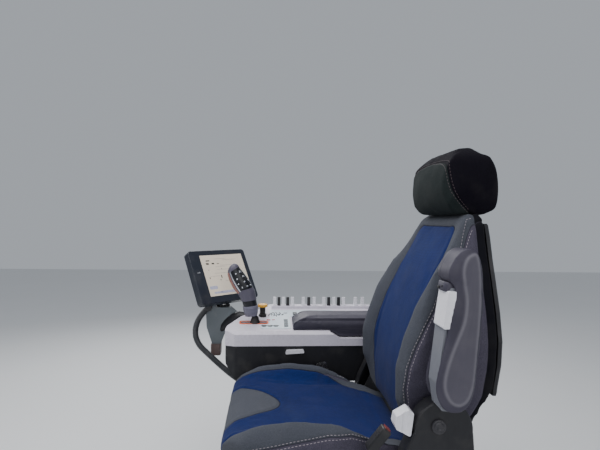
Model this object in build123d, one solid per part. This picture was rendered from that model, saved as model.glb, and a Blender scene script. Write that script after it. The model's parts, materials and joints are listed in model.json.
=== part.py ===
"""Operator's seat of a combine harvester, with its armrest control console and monitor.

Millimetres. +Z is up, -Y is forward, +X is the sitter's left, and the origin is the centre of the floor
plate's underside. The backrest is modelled at its usual lean, the left armrest folded up beside it, and the
headrest down.
"""
import os
from math import cos, radians, sin, tan

from build123d import *

# Suspension and floor
FLOOR_PLATE = (480.0, 440.0, 8.0)
FLOOR_HOLE_EDGE = 24.0
FLOOR_HOLE_RADIUS = 6.5
FLOOR_CORNER = 24.0
LOWER_FRAME_MARGIN = 25.0
LOWER_FRAME_HEIGHT = 50.0
UPPER_FRAME_MARGIN = 30.0
UPPER_FRAME_HEIGHT = 24.0
FRAME_WALL = 4.0
FRAME_CORNER = 50.0
GAITER_HEIGHT = 234.0
GAITER_FOLDS = 5
GAITER_CREST_INSET = 5.0
GAITER_FOLD_DEPTH = 20.0
GAITER_WALL = 6.0
GAITER_FLANGE = 4.0
SUSPENSION_TUBE = (260.0, 200.0, 7.0)
WEIGHT_LEVER_X = 120.0
WEIGHT_LEVER_REACH = 34.0
WEIGHT_GRIP = (48.0, 14.0, 14.0)

# Rails under the seat
RAIL_X = 165.0
RAIL_LENGTH = 440.0
RAIL_WIDTH = 44.0
RAIL_HEIGHT = 24.0
RAIL_WALL = 3.0
RUNNER_LENGTH = 420.0
RUNNER_WEB = 10.0
RUNNER_FOOT = 9.0
RUNNER_LIFT = 5.0
RAIL_PLAY = 0.5
RAIL_SIDE_PLAY = 1.0
BAR_REACH = 120.0
BAR_RADIUS = 4.0
BAR_BEND = 30.0

# Seat pan
PAN_HALF_WIDTH = 228.0
PAN_FRONT = -286.0
PAN_LENGTH = 518.0
PAN_DEPTH = 87.0
PAN_WALL = 3.0
PAN_LIP = 14.0
CUSHION_OVERHANG = 34.0
CUSHION_EDGE = 8.0

# Recliner
PIVOT_Y = 212.0
PIVOT_RISE = 221.0
PIVOT_RADIUS = 9.0
PIN_PLAY = 0.05
BACK_ROOT_RADIUS = 82.0
CUSHION_CLEARANCE = 9.0
SIDE_PLATE = 6.0
ARM_PLATE = 7.0
ARM_PLATE_CLEARANCE = 9.0
ARM_EYE_RADIUS = 34.0
SIDE_COVER_DEPTH = 42.0
SIDE_COVER_WALL = 3.5
SIDE_COVER_RADIUS = 70.0
BUCKLE = (28.0, 24.0, 64.0)
BUCKLE_OUT = 34.0
BUCKLE_LEAN = 39.7
BUCKLE_BUTTON = (18.0, 14.0, 3.0)
RETRACTOR_WIDTH = 24.0

# Backrest, headrest
BACK_HEIGHT = 500.0
BACK_DEPTH = 150.0
BACK_MOULDING = 13.0
HEADREST_HALF_WIDTH = 155.0
HEADREST_HEIGHT = 190.0
HEADREST_DEPTH = 156.0
HEADREST_LIFT = 14.0
HEADREST_LEAN = 12.0
HEADREST_ROD_Y = 126.0
ROD_RADIUS = 6.0
ROD_X = 62.0
ROD_LENGTH = 175.0
ROD_SET_IN = 30.0
SLEEVE_RADIUS = 10.0
SLEEVE_LENGTH = 120.0
SLEEVE_FLANGE = 15.0

# Folded armrest on the left
ARMREST_WIDTH = 66.0
ARMREST_CLEARANCE = 8.0
ARMREST_PIVOT_RISE = 102.0
ARMREST_PIN_RADIUS = 8.0
ARMREST_BOSS_RADIUS = 17.0
ARMREST_EYE_RADIUS = 19.0

# Console on the right
CONSOLE_CLEARANCE = 16.0
CONSOLE_WIDTH = 284.0
CONSOLE_FRONT = -354.0
CONSOLE_LENGTH = 594.0
CONSOLE_RIM_RISE = 260.0
RIM_DEPTH = 50.0
DECK_RISE = 45.0
TUB_DEPTH = 127.0
CONSOLE_WALL = 4.0
RAIL_BAR = (40.0, 12.0, 330.0)
RAIL_BAR_OUT = 108.0
RAIL_BAR_DROP = 23.0
RAIL_BAR_PLAY = 2.0
JOYSTICK_OUT = 88.0
JOYSTICK_BACK = 108.0
JOYSTICK_SLOT = (18.0, 96.0)
STOP_KNOB_OUT = 152.0
STOP_KNOB_BACK = 24.0
STOP_KNOB_HEIGHT = 37.0
LEDGE_START = 166.0
LEDGE_LENGTH = 402.0
LEDGE_WIDTH = 44.0
ELBOW_STEP = 23.0
ELBOW_PAD_WIDTH = 138.0
ELBOW_PAD_HEIGHT = 63.0
ELBOW_PAD_FRONT = 242.0
PANEL_THICKNESS = 1.6
KEY_HEIGHT = 2.4

# Monitor
MONITOR_OUT = 220.0
MONITOR_AHEAD = 24.0
MONITOR_RISE = 226.0
MONITOR_YAW = 48.3
MONITOR_TILT = 29.5
MONITOR_SIZE = (273.0, 222.0, 36.0)
SCREEN_SIZE = (204.0, 172.0, 2.0)
SCREEN_OFFSET = (12.0, 2.0)
MONITOR_HINGE_RISE = 24.0
MONITOR_HINGE_SETBACK = 12.0
MONITOR_PIN_RADIUS = 5.0
YOKE_RISE = 27.6
YOKE_LENGTH = 46.0
BRACKET_WIDTH = 42.0
CONDUIT_RADIUS = 12.0

# Places that follow from the sizes
GAITER_Z = FLOOR_PLATE[2] + LOWER_FRAME_HEIGHT
UPPER_FRAME_Z = GAITER_Z + GAITER_HEIGHT
RAIL_Z = UPPER_FRAME_Z + UPPER_FRAME_HEIGHT
PAN_Z = RAIL_Z + RAIL_HEIGHT + RUNNER_LIFT
CUSHION_Z = PAN_Z + PAN_DEPTH
CUSHION_FRONT = PAN_FRONT - CUSHION_OVERHANG
PIVOT_Z = PAN_Z + PIVOT_RISE
SIDE_COVER_X = PAN_HALF_WIDTH + SIDE_PLATE
ARM_PLATE_X = PAN_HALF_WIDTH - ARM_PLATE_CLEARANCE - ARM_PLATE
BACK_TOP_Z = PIVOT_Z + BACK_HEIGHT
BACK_REAR_Y = PIVOT_Y + BACK_DEPTH
HEADREST_Z = BACK_TOP_Z + HEADREST_LIFT
ARMREST_X = SIDE_COVER_X + SIDE_COVER_DEPTH + ARMREST_CLEARANCE
ARMREST_PIVOT_Z = PIVOT_Z + ARMREST_PIVOT_RISE
CONSOLE_X = -(SIDE_COVER_X + SIDE_COVER_DEPTH + CONSOLE_CLEARANCE)
CONSOLE_REAR = CONSOLE_FRONT + CONSOLE_LENGTH
CONSOLE_RIM_Z = PAN_Z + CONSOLE_RIM_RISE
CONSOLE_FLOOR_Z = CONSOLE_RIM_Z - TUB_DEPTH
RAIL_BAR_Z = CONSOLE_FLOOR_Z - RAIL_BAR_DROP


def outline(points, radius=0.0):
    """A closed face through 2-D points, its corners rounded by a radius or by a list of them."""
    if isinstance(radius, (int, float)) and radius == 0:
        return make_face(Polyline(*points, close=True))
    return make_face(FilletPolyline(*points, radius=radius, close=True))


def along_x(face, low, high):
    """A face drawn in (y, z), extruded from x = low to x = high."""
    return extrude(Plane.YZ.offset(low) * face, high - low)


def along_y(face, low, high):
    """A face drawn in (x, z), extruded from y = low to y = high."""
    plane = Plane(origin=(0, low, 0), x_dir=(1, 0, 0), z_dir=(0, -1, 0))
    return extrude(plane * face, -(high - low))


def along_z(face, low, high):
    """A face drawn in (x, y), extruded from z = low to z = high."""
    return extrude(Plane.XY.offset(low) * face, high - low)


def box_between(low, high):
    """A box from its lowest to its highest corner."""
    size = [b - a for a, b in zip(low, high)]
    return Pos(*low) * Box(*size, align=(Align.MIN, Align.MIN, Align.MIN))


def rod(start, end, radius):
    """A round bar from one point to another."""
    axis = Vector(*end) - Vector(*start)
    return extrude(Plane(origin=start, z_dir=axis) * Circle(radius), axis.length)


def shifted(points, first, second):
    """A list of 2-D points, moved."""
    return [(a + first, b + second) for a, b in points]


def around_pivot(points):
    """Points measured from the recliner's pivot, as (y, z)."""
    return shifted(points, PIVOT_Y, PIVOT_Z)


def both_sides(shape):
    """A shape and its mirror image across the seat's centre plane."""
    return Compound(children=[shape, mirror(shape, about=Plane.YZ)])


def ribbed_loft(sections):
    """A solid through closed polygons of equal point counts, each given as (x, [(y, z), ...])."""
    faces = [Plane.YZ.offset(x) * outline(points) for x, points in sections]
    solid = loft(faces[:2], ruled=True)
    for first, second in zip(faces[1:], faces[2:]):
        solid += loft([first, second], ruled=True)
    return solid


def sections_across(table):
    """Rows that start with a distance inside the pan's side, from the middle out, as rows of x across it."""
    half = [(PAN_HALF_WIDTH - row[0],) + tuple(row[1:]) for row in table]
    middle = (0.0,) + half[0][1:]
    return [(-row[0],) + row[1:] for row in reversed(half)] + [middle] + half


# Floor plate and suspension

def floor_plate():
    """The plate that is bolted to the cab's floor."""
    width, depth, height = FLOOR_PLATE
    pitch = (width - 2 * FLOOR_HOLE_EDGE, depth - 2 * FLOOR_HOLE_EDGE)
    holes = Sketch() + GridLocations(*pitch, 2, 2) * Circle(FLOOR_HOLE_RADIUS)
    return along_z(RectangleRounded(width, depth, FLOOR_CORNER), 0, height) - along_z(holes, -1, height + 1)


def frame_face(margin, inset=0.0):
    """A frame's outline in (x, y), a margin inside the floor plate."""
    width, depth = (size - 2 * (margin + inset) for size in FLOOR_PLATE[:2])
    return RectangleRounded(width, depth, FRAME_CORNER - inset)


def tray(margin, low, high, floor_low):
    """A rounded tray with its floor at a height."""
    ring = frame_face(margin) - frame_face(margin, FRAME_WALL)
    return along_z(ring, low, high) + along_z(frame_face(margin), floor_low, floor_low + FRAME_WALL)


def lower_frame():
    return tray(LOWER_FRAME_MARGIN, FLOOR_PLATE[2], GAITER_Z, FLOOR_PLATE[2])


def upper_frame():
    return tray(UPPER_FRAME_MARGIN, UPPER_FRAME_Z, RAIL_Z, RAIL_Z - FRAME_WALL)


def gaiter_body(inset):
    """The stack of folds, with every wall moved in by the inset."""
    crest = UPPER_FRAME_MARGIN - GAITER_CREST_INSET
    pitch = (GAITER_HEIGHT - 2 * GAITER_FLANGE) / GAITER_FOLDS
    heights = [GAITER_Z + GAITER_FLANGE + pitch * n / 2 for n in range(2 * GAITER_FOLDS + 1)]
    rings = [
        Plane.XY.offset(z) * frame_face(crest + GAITER_FOLD_DEPTH * (n % 2 == 0), inset)
        for n, z in enumerate(heights)
    ]
    body = loft(rings[:2], ruled=True)
    for below, above in zip(rings[1:], rings[2:]):
        body += loft([below, above], ruled=True)
    return body


def gaiter():
    """The bellows round the scissors, with a flat flange at each end."""
    top = UPPER_FRAME_Z
    body = gaiter_body(0)
    body += along_z(frame_face(LOWER_FRAME_MARGIN + 1), GAITER_Z, GAITER_Z + GAITER_FLANGE)
    body += along_z(frame_face(UPPER_FRAME_MARGIN + 1), top - GAITER_FLANGE, top)
    throat = frame_face(UPPER_FRAME_MARGIN - GAITER_CREST_INSET + GAITER_FOLD_DEPTH, GAITER_WALL)
    return body - gaiter_body(GAITER_WALL) - along_z(throat, GAITER_Z - 1, top + 1)


def suspension_tube():
    """One plain upright tube with the size and mass of the scissors, air spring and damper."""
    width, depth, wall = SUSPENSION_TUBE
    ring = Rectangle(width, depth) - Rectangle(width - 2 * wall, depth - 2 * wall)
    return along_z(ring, FLOOR_PLATE[2] + FRAME_WALL, RAIL_Z - FRAME_WALL)


def weight_lever():
    """The air spring's lever, with a flat grip, on the front of the upper frame."""
    root = (WEIGHT_LEVER_X, UPPER_FRAME_MARGIN - FLOOR_PLATE[1] / 2, (UPPER_FRAME_Z + RAIL_Z) / 2)
    end = (root[0], root[1] - WEIGHT_LEVER_REACH, root[2])
    grip = Pos(*end) * Box(*WEIGHT_GRIP)
    return rod(root, end, 5) + fillet(grip.edges().filter_by(Axis.X), 5)


def slide_rails():
    """Two lipped channels that the seat runs in."""
    top = RAIL_Z + RAIL_HEIGHT
    hollow = Rectangle(RAIL_WIDTH - 2 * RAIL_WALL, RAIL_HEIGHT - 2 * RAIL_WALL)
    slot = Pos(0, RAIL_HEIGHT / 2) * Rectangle(RUNNER_WEB + 6 * RAIL_SIDE_PLAY, 3 * RAIL_WALL)
    channel = Pos(RAIL_X, top - RAIL_HEIGHT / 2) * (Rectangle(RAIL_WIDTH, RAIL_HEIGHT) - hollow - slot)
    return both_sides(along_y(channel, -RAIL_LENGTH / 2, RAIL_LENGTH / 2))


def slide_runners():
    """The T-shaped runners that carry the pan."""
    foot_width = RAIL_WIDTH - 2 * RAIL_WALL - 2 * RAIL_SIDE_PLAY
    foot_low = RAIL_Z + RAIL_WALL + RAIL_PLAY
    foot_high = foot_low + RUNNER_FOOT
    profile = Pos(RAIL_X, (foot_low + foot_high) / 2) * Rectangle(foot_width, RUNNER_FOOT)
    profile += Pos(RAIL_X, (foot_high + PAN_Z) / 2) * Rectangle(RUNNER_WEB, PAN_Z - foot_high)
    return both_sides(along_y(profile, -RUNNER_LENGTH / 2, RUNNER_LENGTH / 2))


def fore_aft_bar():
    """The bent bar under the front of the cushion that frees the rails."""
    z = RAIL_Z + RAIL_WALL + RAIL_PLAY + RUNNER_FOOT / 2
    start = -RUNNER_LENGTH / 2
    front = start - BAR_REACH
    corners = [(RAIL_X, start, z), (RAIL_X, front, z), (-RAIL_X, front, z), (-RAIL_X, start, z)]
    path = FilletPolyline(*corners, radius=BAR_BEND)
    return sweep(Plane(origin=path @ 0, z_dir=path % 0) * Circle(BAR_RADIUS), path=path)


# Cushion, pan and recliner

# distance inside the pan's side, share of the bolster, drop or set-back: the strip along the middle
MIDDLE_SECTION = (PAN_HALF_WIDTH - 1, 0.0, 0)
# share of the cushion's length from the front, height of the middle above the pan, rise of the side bolster
CUSHION_TOP = [
    (0.030, 20, 0),
    (0.000, 52, 0),
    (0.015, 80, 4),
    (0.068, 100, 6),
    (0.170, 103, 22),
    (0.360, 92, 44),
    (0.549, 80, 46),
    (0.700, 71, 22),
    (0.841, 66, 6),
    (1.000, 38, 0),
]
# distance inside the pan's side, share of the bolster's rise, drop of the outer edge
CUSHION_SECTIONS = [(78, 0.1, 0), (36, 0.75, 0), (10, 1.0, 0), (-10, 0.75, 6), (-24, 0.1, 22)]
# share of the cushion's length from the front, distance inside the pan's side
CUSHION_PLAN = [
    (-0.004, 78), (0.015, 16), (0.095, -16), (0.322, -23), (0.530, -16), (0.663, 4), (0.814, 20), (1.011, 32)
]


def cushion_y(share):
    """The place along the cushion's length."""
    return CUSHION_FRONT + share * (PIVOT_Y - 4 - CUSHION_FRONT)


def mirrored_outline(right):
    """A face from its right half, as (x, other) from one end to the other."""
    return outline(right + [(-x, other) for x, other in reversed(right)])


def cushion():
    """The padded cushion: dished between two bolsters, rolled over at the knee, hollowed for the back."""
    sections = []
    for x, share, drop in sections_across([MIDDLE_SECTION] + CUSHION_SECTIONS):
        top = [
            (cushion_y(t), CUSHION_Z + max(CUSHION_EDGE, height + share * rise - drop))
            for t, height, rise in CUSHION_TOP
        ]
        sections.append((x, top + [(cushion_y(1.0), CUSHION_Z), (cushion_y(0.045), CUSHION_Z)]))
    plan = mirrored_outline([(PAN_HALF_WIDTH - inside, cushion_y(t)) for t, inside in CUSHION_PLAN])
    body = ribbed_loft(sections) & along_z(plan, CUSHION_Z - 1, CUSHION_Z + 2 * PAN_DEPTH)
    side = PAN_HALF_WIDTH + 60
    hollow = rod((-side, PIVOT_Y, PIVOT_Z), (side, PIVOT_Y, PIVOT_Z), BACK_ROOT_RADIUS + CUSHION_CLEARANCE)
    return body - hollow


def seat_pan():
    """The pressed pan that carries the cushion on its lip."""
    width = 2 * PAN_HALF_WIDTH

    def face(inset):
        return RectangleRounded(width - 2 * inset, PAN_LENGTH - 2 * inset, 26 - inset)
    pan = along_z(face(0), PAN_Z, CUSHION_Z) - along_z(face(PAN_WALL), PAN_Z + PAN_WALL, CUSHION_Z - PAN_WALL)
    pan -= along_z(face(PAN_LIP), PAN_Z + PAN_WALL, CUSHION_Z + 1)
    return Pos(0, PAN_FRONT + PAN_LENGTH / 2, 0) * pan


def side_plates():
    """The steel plates that carry the back's pivot, each with its pin."""
    web = outline([
        (PIVOT_Y - 202, PAN_Z), (PIVOT_Y + 20, PAN_Z), (PIVOT_Y + 40, PIVOT_Z - 96), (PIVOT_Y + 38, PIVOT_Z),
        (PIVOT_Y - 36, PIVOT_Z), (PIVOT_Y - 92, PIVOT_Z - 111), (PIVOT_Y - 202, PAN_Z + 55),
    ], 12)
    plate = along_x(web, PAN_HALF_WIDTH, SIDE_COVER_X)
    plate += rod((PAN_HALF_WIDTH, PIVOT_Y, PIVOT_Z), (SIDE_COVER_X, PIVOT_Y, PIVOT_Z), 40)
    pin = rod((ARM_PLATE_X - 1, PIVOT_Y, PIVOT_Z), (PAN_HALF_WIDTH + 1, PIVOT_Y, PIVOT_Z), PIVOT_RADIUS)
    return both_sides(plate + pin)


def cover_face(inset):
    """The recliner cover's outline in (y, z), moved in by the inset."""
    radius = SIDE_COVER_RADIUS
    face = outline([
        (PIVOT_Y - 120, PAN_Z), (PIVOT_Y - 116, PAN_Z + 95), (PIVOT_Y - 94, PIVOT_Z - 51),
        (PIVOT_Y - radius, PIVOT_Z), (PIVOT_Y + radius, PIVOT_Z), (PIVOT_Y + radius + 8, PIVOT_Z - 96),
        (PIVOT_Y + radius - 2, PAN_Z),
    ], 10) + Pos(PIVOT_Y, PIVOT_Z) * Circle(radius)
    return offset(face, amount=-inset) if inset else face


def side_cover(side):
    """A dished plastic cover over the recliner, open towards the steel plate."""
    inner, outer = SIDE_COVER_X, SIDE_COVER_X + SIDE_COVER_DEPTH
    dish = along_x(cover_face(0), inner, outer)
    dish = chamfer(dish.faces().sort_by(Axis.X)[-1].edges(), 3.0)
    dish -= along_x(cover_face(SIDE_COVER_WALL), inner - 1, outer - SIDE_COVER_WALL)
    dish += rod((outer, PIVOT_Y - 14, PIVOT_Z + 12), (outer + 1.2, PIVOT_Y - 14, PIVOT_Z + 12), 13)
    return dish if side > 0 else mirror(dish, about=Plane.YZ)


def recline_lever():
    """The paddle in front of the left cover."""
    low, high = SIDE_COVER_X + 3, SIDE_COVER_X + SIDE_COVER_DEPTH - 4
    paddle_points = around_pivot([(-112, 34), (-116, 14), (-112, 4), (-78, -14), (-71, 41), (-82, 50)])
    paddle = along_x(outline(paddle_points, 4), low, high)
    stem_points = around_pivot([(-92, -4), (-42, 0), (-42, 18), (-84, 24)])
    stem = along_x(outline(stem_points), low + 10, low + 16)
    groove = rod((high + 6, PIVOT_Y - 96, PIVOT_Z - 6), (high + 6, PIVOT_Y - 92, PIVOT_Z + 46), 8)
    return ((paddle + stem - groove) - side_cover(1)).solids().sort_by(SortBy.VOLUME)[-1]


def buckle_plane():
    """The plane of the buckle's mouth: Z out of it, up and to the rear."""
    mouth = (SIDE_COVER_X + BUCKLE_OUT, PIVOT_Y - 134, PIVOT_Z + 6)
    lean = radians(BUCKLE_LEAN)
    return Plane(origin=mouth, x_dir=(1, 0, 0), z_dir=(0, sin(lean), cos(lean)))


def belt_buckle():
    """The lap belt's buckle on its stalk, beside the cushion on the left."""
    body = buckle_plane() * Pos(0, 0, -BUCKLE[2] / 2) * Box(*BUCKLE)
    stalk_points = around_pivot([(-164, -182), (-138, -182), (-152, -26), (-178, -34)])
    x = SIDE_COVER_X + BUCKLE_OUT
    stalk = along_x(outline(stalk_points, 4), x - 6, x - 1)
    foot = rod((SIDE_COVER_X, PIVOT_Y - 151, PIVOT_Z - 168), (x - 1, PIVOT_Y - 151, PIVOT_Z - 168), 11)
    return fillet(body.edges(), 4) + stalk + foot


def buckle_button():
    """The press button in the mouth of the buckle."""
    return buckle_plane() * Pos(0, 0, BUCKLE_BUTTON[2] / 2) * Box(*BUCKLE_BUTTON)


def belt_retractor():
    """The lap belt's reel housing beside the cushion on the right."""
    housing = outline(around_pivot([(-242, -162), (-168, -162), (-160, -96), (-192, -66), (-234, -70)]), 9)
    lug = outline(around_pivot([(-196, -210), (-164, -210), (-172, -146), (-198, -146)]), 3)
    near = SIDE_COVER_X + RETRACTOR_WIDTH - 1
    far = near + RETRACTOR_WIDTH
    return along_x(housing, -far, -near) + along_x(lug, -near, -SIDE_COVER_X)


def belt_tongue():
    """The end of the webbing with its tongue, drawn back against the reel."""
    x = -(SIDE_COVER_X + 1.5 * RETRACTOR_WIDTH - 1)
    web = outline(around_pivot([(-226, -86), (-200, -78), (-208, -42), (-234, -50)]), 2)
    plate = outline(around_pivot([(-234, -50), (-198, -42), (-208, -8), (-242, -18)]), 5)
    return along_x(web, x - 2, x + 2) + along_x(plate, x - 3, x + 3) - belt_retractor()


# Backrest

# share of the back's height above the pivot, y of the middle from the pivot, projection of the side bolster
BACK_FRONT = [
    (0.000, -69, 10),
    (0.088, -64, 34),
    (0.248, -62, 39),
    (0.388, -46, 36),
    (0.548, -19, 32),
    (0.718, 18, 20),
    (0.838, 50, 10),
    (0.940, 78, 2),
    (0.980, 90, 0),
    (1.000, 106, 0),
]
# distance inside the pan's side, share of the bolster's projection, set-back of the outer edge
BACK_SECTIONS = [(96, 0.08, 0), (62, 0.75, 0), (34, 1.0, 0), (6, 0.8, 4), (-14, 0.2, 20)]
# share of the back's height above the pivot, distance inside the pan's side
BACK_PLAN = [
    (-0.192, 48), (-0.132, 26), (-0.012, 21), (0.148, 6), (0.268, -10), (0.388, -14), (0.528, 0),
    (0.668, 22), (0.788, 42), (0.898, 57), (0.968, 70), (1.008, 88),
]
# degrees forward of straight down from the pivot, where the root's round is cut into flats
BACK_ROOT_ANGLES = (25, 55)
# share of the back's height above the pivot, y from the rear
BACK_REAR = [(1.000, -10), (0.972, 0), (0.148, 0), (-0.052, -44), (-0.144, -100)]
# the recess behind the back: share of the back's height above the pivot, distance inside the pan's side
BACK_RECESS = [(0.228, 108), (0.388, 78), (0.868, 116)]
RECESS_DEPTH = 5.0


def back_z(share):
    """A height on the back, as a share of its height above the pivot."""
    return PIVOT_Z + share * BACK_HEIGHT


def back_outline(inset):
    """The back's outline in (x, z)."""
    return mirrored_outline([(PAN_HALF_WIDTH - inside - inset, back_z(share)) for share, inside in BACK_PLAN])


def rod_line(depth):
    """The point on the left headrest rod at a depth below the headrest."""
    lean = radians(HEADREST_LEAN)
    return (ROD_X, PIVOT_Y + HEADREST_ROD_Y - depth * sin(lean), HEADREST_Z - depth * cos(lean))


def arm_plate():
    """The left steel arm: round the pivot, past the armrest's hinge, back to the rear moulding."""
    face = outline(around_pivot([
        (-ARM_EYE_RADIUS, -18), (ARM_EYE_RADIUS, -18), (88, 74), (BACK_DEPTH, 124), (BACK_DEPTH, 194),
        (88, 174), (-22, 134), (-ARM_EYE_RADIUS, 40),
    ]), 10) + Pos(PIVOT_Y, PIVOT_Z) * Circle(ARM_EYE_RADIUS)
    return along_x(face, ARM_PLATE_X, ARM_PLATE_X + ARM_PLATE)


def armrest_boss():
    """The boss that carries the armrest clear of the recliner's cover."""
    return hinge_rod(ARM_PLATE_X + ARM_PLATE - ARMREST_X, -2, ARMREST_BOSS_RADIUS)


def back_cushion():
    """The padded back: lumbar swell, side bolsters and a narrower shoulder, round at its root."""
    root = BACK_ROOT_RADIUS
    lower = [
        (PIVOT_Y - root * sin(radians(angle)), PIVOT_Z - root * cos(radians(angle)))
        for angle in BACK_ROOT_ANGLES
    ]
    rear = [(BACK_REAR_Y + back, back_z(share)) for share, back in BACK_REAR]
    sections = []
    for x, share, back in sections_across([MIDDLE_SECTION] + BACK_SECTIONS):
        front = [(PIVOT_Y + y - share * stand + back, back_z(z)) for z, y, stand in BACK_FRONT]
        sections.append((x, shifted(lower, back, 0) + front + rear))
    body = ribbed_loft(sections) & along_y(back_outline(0), 0, BACK_REAR_Y + 1)
    bore = rod(rod_line(-30), rod_line(ROD_LENGTH + 20), SLEEVE_RADIUS)
    pin_room = rod((ARM_PLATE_X - 4, PIVOT_Y, PIVOT_Z), (SIDE_COVER_X, PIVOT_Y, PIVOT_Z), PIVOT_RADIUS + 6)
    for cut in (arm_plate(), bore, pin_room):
        body = body - cut - mirror(cut, about=Plane.YZ)
    return body - armrest_boss()


def back_arms():
    """The steel arms from the pivots to the rear moulding, bored for the pivot pins."""
    end = ARM_PLATE_X + ARM_PLATE + 1
    bore = rod((ARM_PLATE_X - 2, PIVOT_Y, PIVOT_Z), (end, PIVOT_Y, PIVOT_Z), PIVOT_RADIUS + PIN_PLAY)
    return both_sides(arm_plate() - bore)


def back_moulding():
    """The moulded panel behind the back, with its long shallow recess and a rolled edge."""
    low, high = BACK_REAR_Y, BACK_REAR_Y + BACK_MOULDING
    bottom, top = back_z(0.108), back_z(0.968)
    band = Pos(0, (bottom + top) / 2) * Rectangle(4 * PAN_HALF_WIDTH, top - bottom)
    panel = along_y(back_outline(10) & band, low, high)
    panel = chamfer(panel.faces().sort_by(Axis.Y)[-1].edges(), 5)
    right = [(PAN_HALF_WIDTH - inside, back_z(share)) for share, inside in BACK_RECESS]
    recess = outline(right + [(-x, z) for x, z in reversed(right)], 24)
    return panel - along_y(recess, high - RECESS_DEPTH, high + 1)


def headrest_guides():
    """Two flanged sleeves in the upper end of the back."""
    start = HEADREST_LIFT - 8
    sleeve = rod(rod_line(start), rod_line(start + SLEEVE_LENGTH), SLEEVE_RADIUS)
    sleeve += rod(rod_line(start), rod_line(start + 4), SLEEVE_FLANGE)
    return both_sides(sleeve - rod(rod_line(0), rod_line(2 * start + SLEEVE_LENGTH), ROD_RADIUS + PIN_PLAY))


def headrest_rods():
    """Two rods, set into the pad, that slide in the sleeves."""
    return both_sides(rod(rod_line(-ROD_SET_IN), rod_line(ROD_LENGTH), ROD_RADIUS))


def headrest_pad():
    """The tall headrest, fuller at the front, with well-rounded corners."""
    y, z, width, height = PIVOT_Y + HEADREST_ROD_Y, HEADREST_Z, HEADREST_HALF_WIDTH, HEADREST_HEIGHT
    side = outline(shifted([
        (-66, 4), (-86, 70), (-76, height - 54), (-32, height - 8), (20, height - 2), (56, height - 34),
        (66, 80), (54, 18), (28, 2),
    ], y, z), [14, 60, 40, 24, 40, 40, 60, 16, 12])
    front = outline(shifted([
        (22 - width, 0), (width - 22, 0), (width, 70), (width - 8, height - 38), (width - 60, height),
        (60 - width, height), (8 - width, height - 38), (-width, 70),
    ], 0, z), [22, 22, 80, 40, 50, 50, 40, 80])
    body = along_x(side, -width, width) & along_y(front, y - 200, y + 200)
    plan = Pos(0, y - 10) * RectangleRounded(2 * width, HEADREST_DEPTH, HEADREST_DEPTH / 3)
    return (body & along_z(plan, z - 10, z + height + 10)) - headrest_rods()


# Left armrest, folded up

# y and z from the armrest's hinge
ARMREST_PAD = [
    (-28, 246), (-22, 292), (10, 326), (40, 324), (60, 290), (70, 212), (69, 102), (58, -6), (32, -46),
    (-2, -40), (-14, 22), (-6, 112), (14, 188), (6, 246),
]
ARMREST_ARM = [
    (-36, -24), (-45, 32), (-31, 161), (-20, 242), (2, 242), (8, 192), (-10, 122), (-19, 32), (-6, -28)
]
ARMREST_GRIP = [(-38, 154), (-26, 236), (8, 234), (2, 156)]
# y and z of the small holes in the arm
ARMREST_HOLES = [(-31, 60), (-27, 92), (-23, 122)]


def armrest_slab(points, corner, low, high):
    """A profile measured from the hinge, across a stretch of the armrest's width."""
    face = outline(shifted(points, PIVOT_Y, ARMREST_PIVOT_Z), corner)
    return along_x(face, ARMREST_X + low, ARMREST_X + high)


def hinge_rod(low, high, radius):
    """A bar on the armrest's hinge line."""
    line = [(ARMREST_X + x, PIVOT_Y, ARMREST_PIVOT_Z) for x in (low, high)]
    return rod(*line, radius)


def armrest_bracket():
    """The boss on the back's left arm, with the armrest's hinge pin."""
    return armrest_boss() + hinge_rod(-20, ARMREST_WIDTH - 22, ARMREST_PIN_RADIUS)


def armrest_arm():
    """The hinged arm under the pad, with the eye that turns on the pin."""
    arm = armrest_slab(ARMREST_ARM, 5, 6, ARMREST_WIDTH - 6)
    arm -= armrest_slab(ARMREST_PAD, 9, -20, ARMREST_WIDTH + 20)
    arm += hinge_rod(6, ARMREST_WIDTH - 6, ARMREST_EYE_RADIUS)
    for y, z in ARMREST_HOLES:
        centre = (ARMREST_X + ARMREST_WIDTH - 16, PIVOT_Y + y, ARMREST_PIVOT_Z + z)
        arm -= rod(centre, (centre[0] + 20, *centre[1:]), 3)
    return arm - hinge_rod(5, ARMREST_WIDTH - 21, ARMREST_PIN_RADIUS + PIN_PLAY)


def armrest_pad():
    """The soft moulding that wraps the arm: broad at the elbow, hooked over at the hand."""
    pad = armrest_slab(ARMREST_PAD, 9, 0, ARMREST_WIDTH)
    for face in (pad.faces().sort_by(Axis.X)[0], pad.faces().sort_by(Axis.X)[-1]):
        pad = chamfer(face.edges(), 4)
    return pad - hinge_rod(-1, ARMREST_WIDTH + 1, ARMREST_EYE_RADIUS)


def armrest_grip():
    """The pale tilt handle under the hand end of the arm."""
    grip = armrest_slab(ARMREST_GRIP, 4, 12, ARMREST_WIDTH + 1)
    return grip - armrest_slab(ARMREST_PAD, 9, -20, ARMREST_WIDTH + 20) - armrest_arm()


# Console

def out(distance):
    """The x of a place measured outwards from the console's near side."""
    return CONSOLE_X - distance


def console_face(inset):
    """The console's outline in (x, y), its outer front corner cut back towards the monitor."""
    width, front, rear = CONSOLE_WIDTH, CONSOLE_FRONT, CONSOLE_REAR
    face = outline([
        (out(0), front + 36), (out(14), front), (out(58), front + 4), (out(148), front + 48),
        (out(width - 56), front + 118), (out(width), front + 158), (out(width), rear - 18),
        (out(width - 16), rear), (out(8), rear), (out(0), rear - 14),
    ], [18, 14, 26, 40, 30, 10, 8, 8, 6, 6])
    return offset(face, amount=-inset) if inset else face


def deck_z(x, below=0.0):
    """Height of the deck, which rises outwards, at x."""
    return CONSOLE_RIM_Z + RIM_DEPTH + (CONSOLE_X - x) * DECK_RISE / CONSOLE_WIDTH - below


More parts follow.
